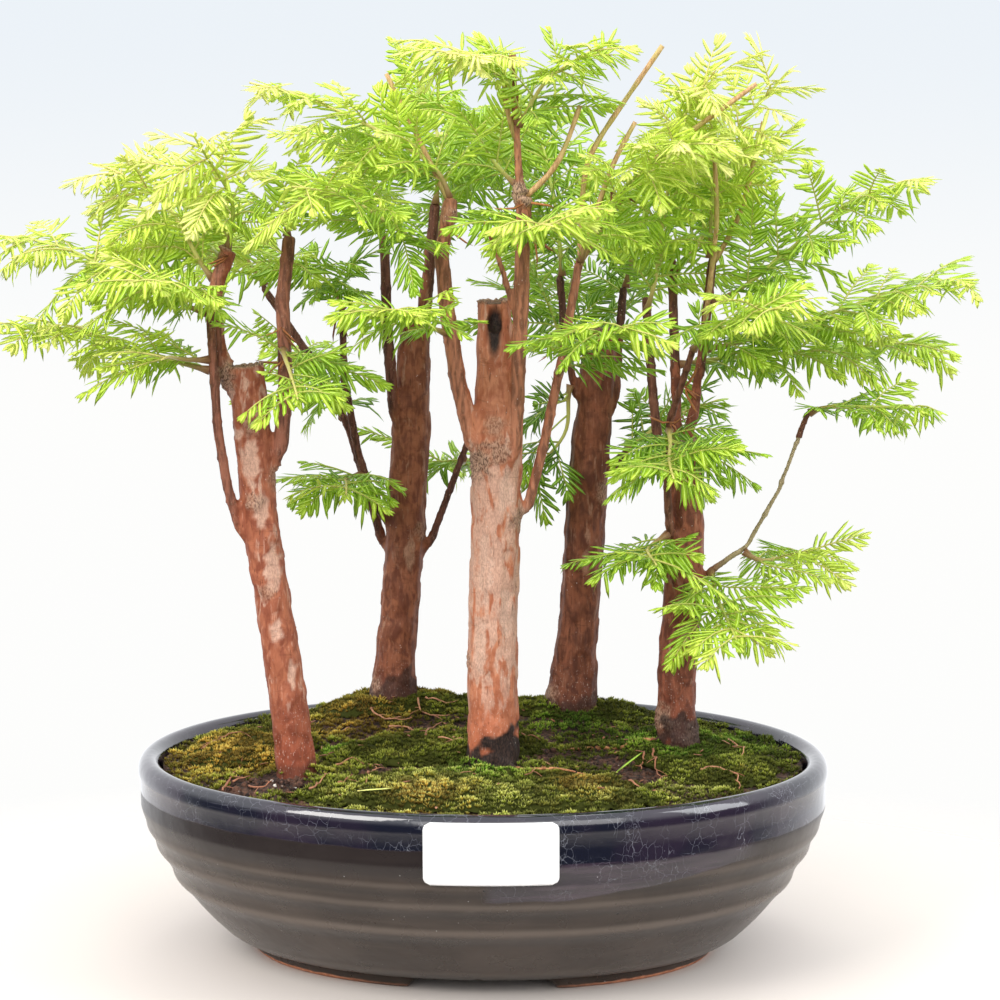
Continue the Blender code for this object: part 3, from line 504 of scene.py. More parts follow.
# A crumb starts as a solid with twenty like faces, whose edges are 2 before it is scaled.
golden = (1 + math.sqrt(5)) / 2
corners = [place for a in (-1, 1) for b in (-golden, golden) for place in ((0, a, b), (a, b, 0), (b, 0, a))]
lump = np.array(corners) / LUMP_CORNER
edge = 2.1 / LUMP_CORNER
lump_faces = np.array([
    (i, j, k) for i in range(12) for j in range(i + 1, 12) for k in range(i + 1, 12)
    if j != k and max(np.linalg.norm(lump[[i, j, k]] - lump[[j, k, i]], axis=1)) < edge
    and np.cross(lump[j] - lump[i], lump[k] - lump[i]) @ lump[i] > 0])
rng = np.random.default_rng(11)
crumb_places, crumb_faces, chalky = [], [], []
for _ in range(CRUMBS):
    x, y = oval(CRUMB_REACH * math.sqrt(rng.random()), rng.uniform(0, math.tau))
    if nearness(x, y, BARE) < CRUMBS_SEEN:
        continue
    size = rng.choice(CRUMB_SIZES)
    shape = lump * rng.uniform(0.8, 1.2, (12, 1)) * rng.uniform(0.6, 1.2, 3) * size
    spin = np.array(Matrix.Rotation(rng.uniform(0, 6), 3, Vector(rng.random(3))))
    crumb_faces.append(lump_faces + 12 * len(crumb_places))
    crumb_places.append(shape @ spin + (x, y, soil_height(x, y) + grain(x, y) + size * CRUMB_LIFT))
    chalky += [float(rng.random() < CHALKY_SHARE and size < CHALKY_SIZE)] * 12
add_piece("soil_crumbs", np.vstack(crumb_places), np.vstack(crumb_faces).tolist(), earth, "soil",
          smooth=False, marks={"chalky": chalky})

# Moss: a short, tufted moss that has crept over nearly all the soil and swells into cushions. It
# is golden on the left, bright green at the trunks and on the right, and pale at its dry tips.
CUSHIONS = ("front", "left", "middle", "back_left", "back_right", "right")
CUSHION_VOXEL = 1.6
CLUMP_WIDTH = 10.0
CLUMP_RISE = 2.8
MOSS_SUNK = 1.4
TUFT_PITCH = 1.75
CUSHION_PITCH = (TUFT_PITCH, TUFT_PITCH * 0.87)
CARPET_PITCH = (TUFT_PITCH * 1.06, TUFT_PITCH * 0.92)
CARPET_FIELD = ((-127, -100), (127, 100))
CARPET_EDGE = 0.8
CARPET_BARE = 0.42  # the carpet ends where the ground is this bare
CARPET_RISE = (1.2, 0.5)  # its share of the moss's rise, and what it adds to that
CREEP = (2.0, 2.5)  # how far moss creeps up the wood, and within what distance of it
TUFT_LEAVES = 8
TUFT_SIZES = (1.5, 2.5)
TUFT_SUNK = 0.3
LEAF_RISE = (0.5, 1.9)  # for each millimetre outwards
LEAF_WIDEST = 0.55
LEAF_HALF_WIDTH = 0.13  # in parts of its length
ABOVE_ALL = 200  # a height above all of the ground
# Places on the ground: x, y and reach.
GOLDEN = ((-100, -14, 30), (-54, 28, 26), (-40, 62, 18), (-86, -24, 20), (44, -64, 12), (-14, -78, 16))
BRIGHT = ((96, 24, 26), (4, -46, 17), (62, 8, 18), (-38, 40, 15), (-59, -14, 10), (34, 22, 16), (80, -10, 14))
PALE = ((83, -56, 16), (52, -72, 16), (-20, -90, 34), (20, -88, 24), (-14, -66, 22))


def place_of(vertex):
    return Vector(vertex.co) / MM - Vector(MIDDLE)


def places_of(mesh):
    return np.array([vertex.co for vertex in mesh.vertices]) / MM - MIDDLE


def faces_of(mesh):
    return [tuple(face.vertices) for face in mesh.polygons]


def surface_of(mesh):
    """Something to measure a mesh with, in millimetres from the middle of the tray."""
    return BVHTree.FromPolygons([place_of(vertex) for vertex in mesh.vertices], faces_of(mesh))


def from_above(surface, x, y):
    """Where a line straight down first meets a surface, and which way that faces."""
    return surface.ray_cast(Vector((x, y, ABOVE_ALL)), Vector((0, 0, -1)))[:2]


def skin_of(node, voxel, rounds):
    """A fine, even skin over a solid node, smoothed this many times."""
    rough = new_object("rough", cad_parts[node].data.copy())
    remesh = rough.modifiers.new("skin", "REMESH")
    remesh.mode = "VOXEL"
    remesh.voxel_size = voxel * MM
    relax = rough.modifiers.new("relax", "SMOOTH")
    relax.factor = 0.5
    relax.iterations = rounds
    mesh = evaluated_mesh(rough)
    bpy.data.objects.remove(rough)
    return mesh


def ramp(value, low, high):
    """0 at low and below, 1 at high and above."""
    return min(max((value - low) / (high - low), 0), 1)


def clump(x, y):
    """The round clumps that moss grows in: 1 on a crown, and 0 in the gap between two."""
    near = noise.voronoi(Vector((x, y, 3.0)) / CLUMP_WIDTH)[0]
    return ramp(near[1] - near[0], 0, 0.55)


def moss_rise(x, y):
    """How far the moss stands above the even ground or cushion."""
    lift = CLUMP_RISE * math.sqrt(clump(x, y)) + 0.6 * patches(x, y, 5, 3)
    return lift + 1.5 * patches(x, y, 1, 17) - MOSS_SUNK


def tufts(feet, leans, rng):
    """Stars of little leaves that rise from each foot: the corners, four to a leaf, and the faces."""
    shape = (len(feet), TUFT_LEAVES)
    turn = rng.uniform(0, math.tau, (len(feet), 1)) + math.tau * np.arange(TUFT_LEAVES) / TUFT_LEAVES
    turn = turn + rng.uniform(-0.3, 0.3, shape)
    rise = rng.uniform(*LEAF_RISE, shape)
    out = np.stack([np.cos(turn), np.sin(turn), rise], axis=2) + leans[:, None]
    size = rng.uniform(*TUFT_SIZES, (len(feet), 1, 1))
    out *= size / np.linalg.norm(out, axis=2, keepdims=True)
    side = np.stack([-np.sin(turn), np.cos(turn), 0 * turn], axis=2) * size * LEAF_HALF_WIDTH
    foot = np.broadcast_to((feet - (0, 0, TUFT_SUNK))[:, None], out.shape)
    middle = foot + out * LEAF_WIDEST
    corners = np.stack([foot, middle - side, foot + out, middle + side], axis=2).reshape(-1, 3)
    starts = 4 * np.arange(shape[0] * shape[1])[:, None, None]
    return corners, (np.array([(0, 1, 2), (0, 2, 3)]) + starts).reshape(-1, 3)


def moss_marks(feet, rng):
    """How golden, bright and pale each tuft is, and how far out of the gaps, with painted light and shade:
    darker in the gaps and in patches, lighter on the left and in front.
    """
    marks = {"gold": [], "bright": [], "pale": [], "crown": []}
    for x, y, _ in feet:
        wander = 0.45 * patches(x, y, 9, 8) + rng.uniform(-0.16, 0.16)
        marks["gold"].append(ramp(nearness(x, y, GOLDEN) * 1.1 + wander, 0.05, 0.9))
        marks["bright"].append(ramp(nearness(x, y, BRIGHT) * 1.1 + wander, 0.05, 0.9))
        marks["pale"].append(ramp(nearness(x, y, PALE) + wander, 0.1, 0.9))
        # The crown mark is painted light and shade: lighter in random patches, on the left and in front, and
        # darker in the gaps between clumps.
        lit = 0.22 + 0.78 * ramp(patches(x, y, 6, 12), -0.22, 0.14)
        lit *= 1.25 - 0.50 * ramp(x, -75, -35) * ramp(y, -72, -45)  # lighter on the left and in front
        crown = 0.16 + 0.84 * ramp(clump(x, y), 0.0, 0.6) + rng.uniform(-0.15, 0.05)
        marks["crown"].append(crown * lit)
    return {name: np.repeat(values, 4 * TUFT_LEAVES) for name, values in marks.items()}


moss = Finish("moss", Roughness=0.85, Specular_IOR_Level=0.15)
green = moss.mix(moss.attribute("bright"), (0.165, 0.205, 0.008), (0.110, 0.310, 0.008))
green = moss.mix(moss.attribute("gold"), green, (0.500, 0.285, 0.035))
green = moss.mix(moss.noise(6.0, 3).step(0.58, 0.74) * 0.4, green, (0.240, 0.120, 0.025))
tip = moss.mix(0.35 + moss.attribute("pale") * 0.55, green, (0.800, 0.800, 0.230))
# Painted shade: each leaf goes from a near-black green at its foot to its own colour higher up, and the crown
# mark darkens whole tufts towards it. The pale tips are the moss's own dry tips.
shaded_moss = moss.mix(0.88, green, (0.012, 0.012, 0.003))
rise = moss.attribute("top")
lit = moss.mix(rise.step(0.05, 0.60), shaded_moss, moss.mix(rise.step(0.45, 0.95), green, tip))
moss.set("Base Color", moss.mix(moss.attribute("crown"), shaded_moss, lit))
moss.bump(moss.noise(0.5, 2), 0.2)

wood = {name: surface_of(obj.data) for name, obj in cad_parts.items() if name.startswith("tree_")}
rng = np.random.default_rng(7)
ground = []


def off_wood(place):
    """How far a place is from the nearest trunk, limb or root."""
    return min(surface.find_nearest(Vector(place))[3] for surface in wood.values())


def strewn(low, high, pitch, stray):
    """Places on the ground at this pitch, each strayed a little."""
    for y in np.arange(low[1], high[1], pitch[1]):
        for x in np.arange(low[0], high[0], pitch[0]):
            yield x + rng.uniform(-stray, stray), y + rng.uniform(-stray, stray)


def add_moss(name, base, base_faces, feet, leans, *nodes):
    """A piece of moss: the cushion's own skin, if it has one, and the tufts that cover it."""
    feet, leans = np.array(feet), np.array(leans)
    corners, faces = tufts(feet, leans, rng)
    marks = moss_marks(feet, rng)
    marks["top"] = np.tile([0.0, LEAF_WIDEST, 1.0, LEAF_WIDEST], len(feet) * TUFT_LEAVES)
    start = len(base)
    marks = {mark: np.r_[np.zeros(start), values] for mark, values in marks.items()}
    add_piece(name, np.vstack([base, corners]), base_faces + (faces + start).tolist(), moss, "moss",
              *nodes, marks=marks)


for name in CUSHIONS:
    skin = skin_of("moss_" + name, CUSHION_VOXEL, 2)
    for vertex in skin.vertices:
        x, y, z = place_of(vertex)
        if z > soil_height(x, y) + 1:
            vertex.co.z += MM * moss_rise(x, y)
    ground.append(surface_of(skin))
    base = places_of(skin)
    feet, leans = [], []
    for x, y in strewn(base.min(axis=0), base.max(axis=0), CUSHION_PITCH, 0.7):
        spot, normal = from_above(ground[-1], x, y)
        if spot and normal.z > 0.1:
            feet.append(spot)
            leans.append((normal.x * 0.8, normal.y * 0.8, 0))
    add_moss("moss_tufts_" + name, base, faces_of(skin), feet, leans, "moss_" + name)

half_x, half_y = SOIL_REACH - CARPET_EDGE, SOIL_REACH * SQUEEZE - CARPET_EDGE
feet = []
for x, y in strewn(*CARPET_FIELD, CARPET_PITCH, 0.8):
    outside = (x / half_x) ** 2 + (y / half_y) ** 2 >= 1
    bare = nearness(x, y, BARE) + 0.5 * patches(x, y, 2, 7)
    if outside or bare > CARPET_BARE or any(from_above(surface, x, y)[0] for surface in ground):
        continue
    spot = Vector((x, y, soil_height(x, y) + CARPET_RISE[0] * moss_rise(x, y) + CARPET_RISE[1]))
    off = off_wood(spot)
    if off > 0.5:
        spot.z += CREEP[0] * math.exp(-off / CREEP[1])
        feet.append(spot)
add_moss("moss_carpet", np.zeros((0, 3)), [], feet, np.zeros((len(feet), 3)))

# Trees: five trunks that were sawn off at the top and have grown new limbs. The skin of each is
# its solid's, with the relief of thin, flaking bark. Each trunk has a bark of its own, worn to a
# paler layer in places, and the dark foot of wet wood.
# Line is the trunk's middle from the soil up, and top the radius where it is sawn. Worn is a share
# at each height, and stain is how high and how dark the foot is wet.
TREES = {
    "left_front": {
        "line": ((-68, -41, 79), (-81, -41, 180), (-86, -41, 235)), "radius": 7.6, "top": 7.5,
        "dull": (0.24, 0.064, 0.032), "warm": (0.43, 0.145, 0.072), "pale": (0.68, 0.42, 0.31),
        "worn": ((80, 0.10), (140, 0.30), (240, 0.45)), "stain": (1.5, 0.45), "limbs": (0.25, 0.095, 0.058)},
    "left_back": {
        "line": ((-41, 50, 88), (-35, 50, 170), (-31, 50, 246)), "radius": 8.6, "top": 6.2,
        "dull": (0.155, 0.047, 0.025), "warm": (0.350, 0.125, 0.062), "pale": (0.46, 0.25, 0.160),
        "worn": ((90, 0.05), (160, 0.30), (250, 0.30)), "stain": (4.0, 0.70), "limbs": (0.13, 0.050, 0.034)},
    "centre": {
        "line": ((7, -30, 79), (8, -30, 165), (8, -30, 259)), "radius": 10.0, "top": 6.3,
        "dull": (0.38, 0.122, 0.058), "warm": (0.58, 0.235, 0.125), "pale": (0.68, 0.435, 0.325),
        "worn": ((85, 0.15), (110, 0.60), (130, 0.80), (190, 0.80), (212, 0.25), (260, 0.30), (300, 0.70)),
        "stain": (5.0, 1.00), "limbs": (0.36, 0.145, 0.078)},
    "right_back": {
        "line": ((33, 43, 87), (39, 43, 170), (45, 43, 243)), "radius": 9.0, "top": 6.5,
        "dull": (0.110, 0.035, 0.018), "warm": (0.270, 0.092, 0.045), "pale": (0.42, 0.22, 0.14),
        "worn": ((90, 0.05), (160, 0.30), (250, 0.25)), "stain": (2.0, 0.60), "limbs": (0.10, 0.042, 0.030)},
    "right_front": {
        "line": ((78, 5, 78), (79, 5, 139), (79, 5, 203)), "radius": 8.2, "top": 7.0,
        "dull": (0.140, 0.042, 0.023), "warm": (0.370, 0.120, 0.062), "pale": (0.50, 0.28, 0.185),
        "worn": ((80, 0.10), (140, 0.35), (210, 0.25)), "stain": (6.0, 0.85), "limbs": (0.18, 0.072, 0.044)},
}
BARK_VOXEL = 0.92
TAN_TWIG = (90, 98)  # the thin limb on the far right is tan beyond this x
# Burls and healed scars: x, y, z, reach and rise.
KNOBS = ((-92, -43, 231, 6, 1.1), (-82, -49, 184, 4, 0.7), (-82, -49, 213, 4, 0.7), (-74, -41, 193, 5, 0.8),
         (10, -40, 203, 5, 0.9), (2, -36, 199, 7, 1.1), (16, -33, 177, 5, 0.8), (-2, -32, 122, 4, 0.9),
         (19, -40, 300, 5, 1.5), (-8, -38, 292, 4, 1.1), (70, 1, 93, 6, 0.9), (86, 0, 86, 6, 0.7),
         (24, 39, 92, 6, 0.8), (-50, 46, 95, 6, 0.8), (-28, 46, 160, 4, 0.6), (47, 38, 178, 4, 0.7),
         (-94, -42, 278, 4, 1.2), (-77, -48, 150, 3, 0.6), (9, -41, 212, 5, 0.7))
# Where the outer bark has peeled off in front: x, z, half the width and half the height.
PEELED = ((-84, 229, 1.4, 2.2), (-90, 226, 1.2, 3.5), (-88, 210, 2.4, 2.4), (-83, 200, 3.6, 9.0),
          (-79, 181, 2.6, 6.5), (-75, 159, 2.8, 9.0), (-74, 135, 2.2, 5.0), (-68, 118, 1.6, 5.0),
          (13, 188, 2.4, 8.0), (5, 160, 3.0, 13.0), (13, 142, 2.4, 9.0), (3, 128, 2.4, 10.0),
          (81, 128, 2.0, 5.0), (-33, 150, 1.8, 6.0), (40, 150, 1.6, 5.0))
HOLLOW = (8.5, 248.0, 2.8, 9.5)  # the same for the knot hole under the top of the tree in the centre
MARKS = ("limb", "stain", "sawn", "lip", "root", "cork", "peeled", "worn", "flake", "low", "tan")
ROOTS_BELOW = (92, 96)  # wood beside a trunk is a surface root below these heights, and a limb above
REDDER_BELOW = (90, 116)  # bark is redder below these heights


def from_line(place, line):
    """The distance from a place to a line of points."""
    best = math.inf
    for first, second in zip(line, line[1:]):
        along = second - first
        share = min(max((place - first).dot(along) / along.length_squared, 0), 1)
        best = min(best, (place - first - along * share).length)
    return best


def corkiness(place):
    """1 on a burl or a healed scar, where the bark is crumpled and corky, and 0 away from them."""
    best = 0.0
    for x, y, z, reach, rise in KNOBS:
        far = (place - Vector((x, y, z))).length / reach
        best = max(best, ramp(1.25 - far + 0.5 * noise.noise(place / 2.2), 0.0, 0.6) * rise)
    return best


def from_patch(place, x, z, half_x, half_z):
    """How far a place is from the middle of an upright patch, seen from the front: 1 on its edge."""
    return math.hypot((place.x - x) / half_x, (place.z - z) / half_z)


def peeled_share(place, facing):
    """1 inside the ragged patches in front where the outer bark is gone."""
    if facing > 0.15:
        return 0.0
    far = min(from_patch(place, *patch) for patch in PEELED)
    ragged = 0.55 * noise.noise(Vector((place.x / 2.0, 3, place.z / 3.0)))
    return ramp(1.15 - far + ragged, 0.0, 0.30)


def bark_relief(place, thin, flake):
    """Strings of bark that run upwards, flakes with raised edges, and the nodes of thin limbs."""
    x, y, z = place
    strings = noise.noise(Vector((x / 1.7, y / 1.7, z / 12))) + 0.6 * noise.noise(Vector((x, y, z / 5)))
    if thin:
        node = math.exp(-((z + 6 * noise.noise(place / 30)) % 15 - 7) ** 2 / 0.8)
        return 0.12 * strings + 0.28 * node + 0.22
    return 0.15 * strings + 0.42 * flake + 0.5 * noise.noise(place / 8) - 0.1


def tinted(colour, *shares):
    """The colour times one share, or times a share for each of red, green and blue."""
    shares = shares if len(shares) > 1 else shares * 3
    return tuple(share * part for share, part in zip(shares, colour))


def bark_finish(name, tree):
    """Thin, mottled bark in fine strings, pale where it has worn, with corky scabs and cracks."""
    bark = Finish("bark_" + name, Roughness=0.62, Specular_IOR_Level=0.28)
    dull, warm, pale, red = tree["dull"], tree["warm"], tree["pale"], tree["limbs"]
    strings = bark.noise((1.5, 1.5, 8.0), 4, 0.5)
    fine = bark.noise((0.55, 0.55, 1.2), 3)
    mottle = bark.noise((4.0, 4.0, 6.0), 4, 0.9)
    flake = bark.attribute("flake")
    tone = bark.mix((mottle * 0.65 + strings * 0.35).step(0.36, 0.62), dull, warm)
    tone = bark.mix(flake * 0.35, tone, dull)
    # Worn and peeled places, pale threads, and dark cracks and ticks.
    skin = bark.mix(fine.step(0.35, 0.65), tinted(pale, 0.72), pale)
    worn = bark.noise((4.2, 4.2, 13.0), 4, 0.6) + strings * 0.3 + bark.attribute("worn") * 0.4
    worn = worn.step(0.86, 0.97)
    tone = bark.mix(worn * 0.75, tone, skin)
    tone = bark.mix(bark.attribute("peeled") * 0.85, tone, skin)
    threads = bark.noise((1.0, 1.0, 9.0), 3, 0.5)
    tone = bark.mix(threads.step(0.58, 0.70) * mottle.step(0.40, 0.60) * 0.40, tone, pale)
    cracks = (1 - threads.step(0.30, 0.37)) * mottle.step(0.45, 0.55)
    ticks = bark.noise((6.0, 6.0, 0.9), 3, 0.5).step(0.64, 0.69)
    tone = bark.mix(cracks * 0.55 + ticks * 0.25, tone, tinted(dull, 0.28))
    # The redder foot, the limbs, the tan twig, the corky scabs and the wet stain, whose dark colour also
    # fills the knot hole as painted shade.
    low = bark.attribute("low")
    ruddy = bark.mix(mottle.step(0.40, 0.60), tinted(dull, 0.75, 0.60, 0.55), tinted(dull, 1.15, 0.95, 0.90))
    tone = bark.mix(low * 0.75, tone, ruddy)
    tone = bark.mix(low * fine.step(0.62, 0.68) * 0.55, tone, (0.66, 0.50, 0.42))
    young = bark.mix(strings.step(0.35, 0.65), tinted(red, 0.55), tinted(red, 1.35))
    young = bark.mix(fine.step(0.60, 0.70) * 0.45, young, (0.44, 0.27, 0.18))
    tone = bark.mix(bark.attribute("limb"), tone, young)
    twig = bark.mix(strings, (0.22, 0.165, 0.085), (0.62, 0.50, 0.30))
    tone = bark.mix(bark.attribute("tan"), tone, twig)
    cork = bark.mix(fine.step(0.36, 0.60), (0.085, 0.045, 0.030), (0.44, 0.28, 0.19))
    tone = bark.mix(bark.attribute("cork") * 0.85, tone, cork)
    wet = bark.mix(fine.step(0.3, 0.8), (0.012, 0.007, 0.006), (0.060, 0.034, 0.026))
    tone = bark.mix(bark.attribute("stain"), tone, wet)
    # The sawn top with its cracked heart and corky lip, the surface roots, and pale specks.
    heart = bark.mix(bark.cracks(2.2, 0.10, 0.5), (0.16, 0.085, 0.055), (0.025, 0.014, 0.011))
    tone = bark.mix(bark.attribute("sawn"), tone, bark.mix(bark.attribute("lip"), heart, cork))
    rooty = bark.mix(strings.step(0.4, 0.6), (0.26, 0.095, 0.040), (0.48, 0.22, 0.095))
    tone = bark.mix(bark.attribute("root"), tone, rooty)
    specks = bark.spots((2.0, 2.0, 2.8), 0.12) * bark.noise(13.0, 2).step(0.46, 0.62)
    bark.set("Base Color", bark.mix(specks * 0.6, tone, (0.70, 0.58, 0.50)))
    bark.bump(strings * 0.35 + fine * 0.4 + cracks * -0.4 + worn * -0.15, 0.50)
    return bark


for name, tree in TREES.items():
    skin = skin_of("tree_" + name, BARK_VOXEL, 5)
    line = [Vector(point) for point in tree["line"]]
    top, radius = line[-1].z, tree["radius"]
    stain_height, stain_depth = tree["stain"]
    marks = []
    normals = [Vector(vertex.normal) for vertex in skin.vertices]
    for vertex, normal in zip(skin.vertices, normals):
        place = place_of(vertex)
        off = from_line(place, line)
        # What part of the tree this is.
        flat = math.hypot(place.x - line[-1].x, place.y - line[-1].y)
        on_top = place.z > top - 2 and flat < tree["top"] + 1
        sawn = ramp(normal.z, 0.45, 0.75) if on_top else 0.0
        lip = ramp(flat, tree["top"] * 0.55, tree["top"] * 0.80)
        thin = ramp(off, radius * 1.12, radius * 1.35) if place.z < top + 1 else float(not on_top)
        low = 1 - ramp(place.z, *ROOTS_BELOW)
        root = ramp(off, radius * 1.3, radius * 1.5) * low if name != "left_back" else 0.0
        twig = ramp(place.x, *TAN_TWIG) * float(100 < place.z < top + 2)
        # What its bark is like, and how far that stands out.
        flake = ramp(noise.noise(Vector((place.x / 4.5, place.y / 4.5, place.z / 9))), 0.10, 0.20)
        cork = corkiness(place)
        peeled = peeled_share(place, normal.y)
        # The knot hole is painted with the dark stain colour, as painted shade in the hollow.
        hole = ramp(1.2 - from_patch(place, *HOLLOW), 0, 0.5) * float(name == "centre" and normal.y < 0)
        relief = bark_relief(place, thin > 0.5, flake) + cork * (0.8 + 0.9 * noise.noise(place / 1.6))
        relief -= 0.35 * peeled + 0.40 * twig
        relief -= 1.3 * hole
        if sawn:
            relief = lip * (0.9 + 1.4 * noise.noise(place / 1.7)) - (1 - lip) * 0.5
        vertex.co += normal * MM * relief
        # How far water has stained its foot, and how worn and red it is.
        rising = stain_height * (0.9 + 1.5 * ramp(place.x - line[0].x, -8, 8) + 1.8 * noise.noise(place / 5))
        edge = soil_height(place.x, place.y) + 3 + max(rising, 0)
        stain = (1 - ramp(place.z, edge - 0.8, edge + 1.2)) * stain_depth
        worn = np.interp(place.z, *zip(*tree["worn"]))
        red = 1 - ramp(place.z + 8 * noise.noise(place / 7), *REDDER_BELOW)
        # The stain mark also carries the knot hole's painted shade.
        marks.append((thin, max(stain, hole), sawn, lip, root, cork, peeled, worn, flake, red, twig))
    write_marks(skin, dict(zip(MARKS, zip(*marks))))
    finish_piece(new_object("bark_" + name, skin), bark_finish(name, tree), "bark", "tree_" + name)

# Leafy shoots: soft young growth on the limbs. Each is a yellow-green stem with arching feathers,
# and each feather is a rib with two ranks of flat needles. The solid spray's own lines are kept,
# and finer feathers grow between them.
NEEDLE_LENGTH = 11.8
NEEDLE_WIDTH = 1.65
NEEDLE_THICKNESS = 0.40
NEEDLE_PITCH = 2.15
NEEDLE_SECTIONS = np.array([(0.0, 0.40), (0.32, 1.0), (0.80, 0.82)])  # how far out, and how wide there
NEEDLE_SHARES = ((0.0, 0.20, 0.60, 1.0), (0.50, 0.95, 1.0, 0.42))  # its length along a feather
NEEDLE_LEAN = (20, 42)  # degrees from square at a feather's foot, and how many more at its tip
NEEDLE_DROOP = (-0.04, 0.30)
CURLED_DROOP = (0.45, 0.85)
CURLED_SHARE = 0.12
MISSING_SHARE = 0.05
FEATHER_LENGTH = (19.0, 37.0)
FEATHER_REACH = 17  # a corner of the solid this near to a rib is of its feather
SAG_KEPT = 0.6  # how much of a solid rib's rise and fall its feather keeps
STATION_PITCH = 4.4  # from one pair of feathers to the next along a shoot
ATTEMPTS = 5  # a feather with no room is tried again, at this share of its length
SHORTER = 0.85
HANGING_SHARE = 0.12
RIB_RADIUS = (0.42, 0.20)
SHOOT_RADIUS = (0.95, 0.36)
SHOOT_PITCH = 3.0
COLLAR = (0.9, 2.5)  # how much thicker a shoot starts, and how soon that ends
AGED_LENGTH = (8, 26)  # the brown foot of a shoot
WOOD_ROOM = 2.5  # how far a feather keeps from the wood, and the tip of a needle
TIP_ROOM = 0.7
CROWN_ROOM = 13.0  # how far a feather may end from the solid sprays
BOX_ROOM = 0.7  # how far the crown keeps inside the solids' box, and then ribs and new feathers in that
LINE_ROOM = 0.6
FEATHER_ROOM = 1.5
# Gaps in the crown, through which the trunks show: x, y, z and reach.
GAPS = ((-84, -58, 222, 27), (-80, -50, 190, 30), (8, -52, 228, 28), (8, -52, 190, 30), (5, -40, 150, 30),
        (-34, 34, 216, 18), (41, 30, 205, 18), (-34, 40, 150, 30), (-93, -86, 236, 24), (-102, -52, 349, 27),
        (6, -57, 251, 20))

box_low = np.array(solid_box[0]) / MM - MIDDLE + BOX_ROOM
box_high = np.array(solid_box[1]) / MM - MIDDLE - BOX_ROOM


def within_box(line):
    return np.clip(line, box_low + LINE_ROOM, box_high - LINE_ROOM)


def joined_corners(mesh):
    """The corners of a solid and, for each, its neighbours and how far they are."""
    corners, back = np.unique(places_of(mesh).round(2), axis=0, return_inverse=True)
    back = back.reshape(-1)
    links = [{} for _ in corners]
    for edge in mesh.edges:
        first, second = (int(back[i]) for i in edge.vertices)
        if first != second:
            far = float(np.linalg.norm(corners[first] - corners[second]))
            links[first][second] = links[second][first] = far
    return corners, links


def ways_from(foot, links):
    """How far each corner is from the foot along the edges, and the corner before it."""
    far, before, queue = {foot: 0.0}, {foot: None}, [(0.0, foot)]
    while queue:
        gone, corner = heapq.heappop(queue)
        for other, step in links[corner].items():
            if gone + step < far.get(other, math.inf):
                far[other], before[other] = gone + step, corner
                heapq.heappush(queue, (gone + step, other))
    return far, before


def rib_ends(corners, links):
    """A rib of the solid ends in a point over one small ring of corners."""
    ends = []
    for corner, near in enumerate(links):
        ring = corners[list(near)]
        if 3 <= len(near) <= 5 and np.ptp(ring, axis=0).max() < 1.5 and min(near.values()) > 3:
            ends.append(corner)
    return ends


def unit(vectors):
    vectors = np.asarray(vectors, float)
    return vectors / np.maximum(np.linalg.norm(vectors, axis=-1, keepdims=True), 1e-9)


def even(line, pitch):
    """A line of points at an even pitch, with its kinks taken out."""
    line = np.asarray(line, float)
    for _ in range(2):
        steps = np.r_[0, np.cumsum(np.linalg.norm(np.diff(line, axis=0), axis=1))]
        count = max(int(steps[-1] / pitch), 3) + 1
        marks = np.linspace(0, steps[-1], count)
        line = np.stack([np.interp(marks, steps, line[:, i]) for i in range(3)], axis=1)
        for _ in range(3):
            line[1:-1] = line[1:-1] / 2 + (line[:-2] + line[2:]) / 4
    return line


def in_gap(place):
    return any(math.dist(place, (x, y, z)) < reach for x, y, z, reach in GAPS)


def lines_of(corners, links):
    """The solid spray's own lines: its shoot out to the tip, and the rib of each feather."""
    foot = int(np.argmin([off_wood(corner) for corner in corners]))
    far, before = ways_from(foot, links)
    ends = sorted((end for end in rib_ends(corners, links) if end in far), key=far.get, reverse=True)
    lines, used = [], set()
    for end in ends:
        line = [end]
        while before[line[-1]] is not None and line[-1] not in used:
            line.append(before[line[-1]])
        used.update(line)
        lines.append(corners[line[::-1]])
    return lines


def tube(line, radii, sides):
    """A round rod along a line, closed at both ends, as places and triangles."""
    line = np.asarray(line, float)
    ahead = unit(np.gradient(line, axis=0))
    side = unit(np.cross(ahead, (0.31, 0.17, 0.05) if abs(ahead[0][2]) > 0.6 else (0.05, 0.1, 1.0)))
    up = np.cross(side, ahead)
    turns = np.arange(sides) * math.tau / sides
    ring = side[:, None] * np.cos(turns)[None, :, None] + up[:, None] * np.sin(turns)[None, :, None]
    places = (line[:, None] + ring * np.asarray(radii)[:, None, None]).reshape(-1, 3)
    faces = []
    for low in range(0, (len(line) - 1) * sides, sides):
        for k in range(sides):
            here, beside = low + k, low + (k + 1) % sides
            faces += [(here, here + sides, beside + sides), (here, beside + sides, beside)]
    last = (len(line) - 1) * sides
    faces += [(0, k, k + 1) for k in range(1, sides - 1)]
    faces += [(last, last + k + 1, last + k) for k in range(1, sides - 1)]
    return places, np.array(faces)


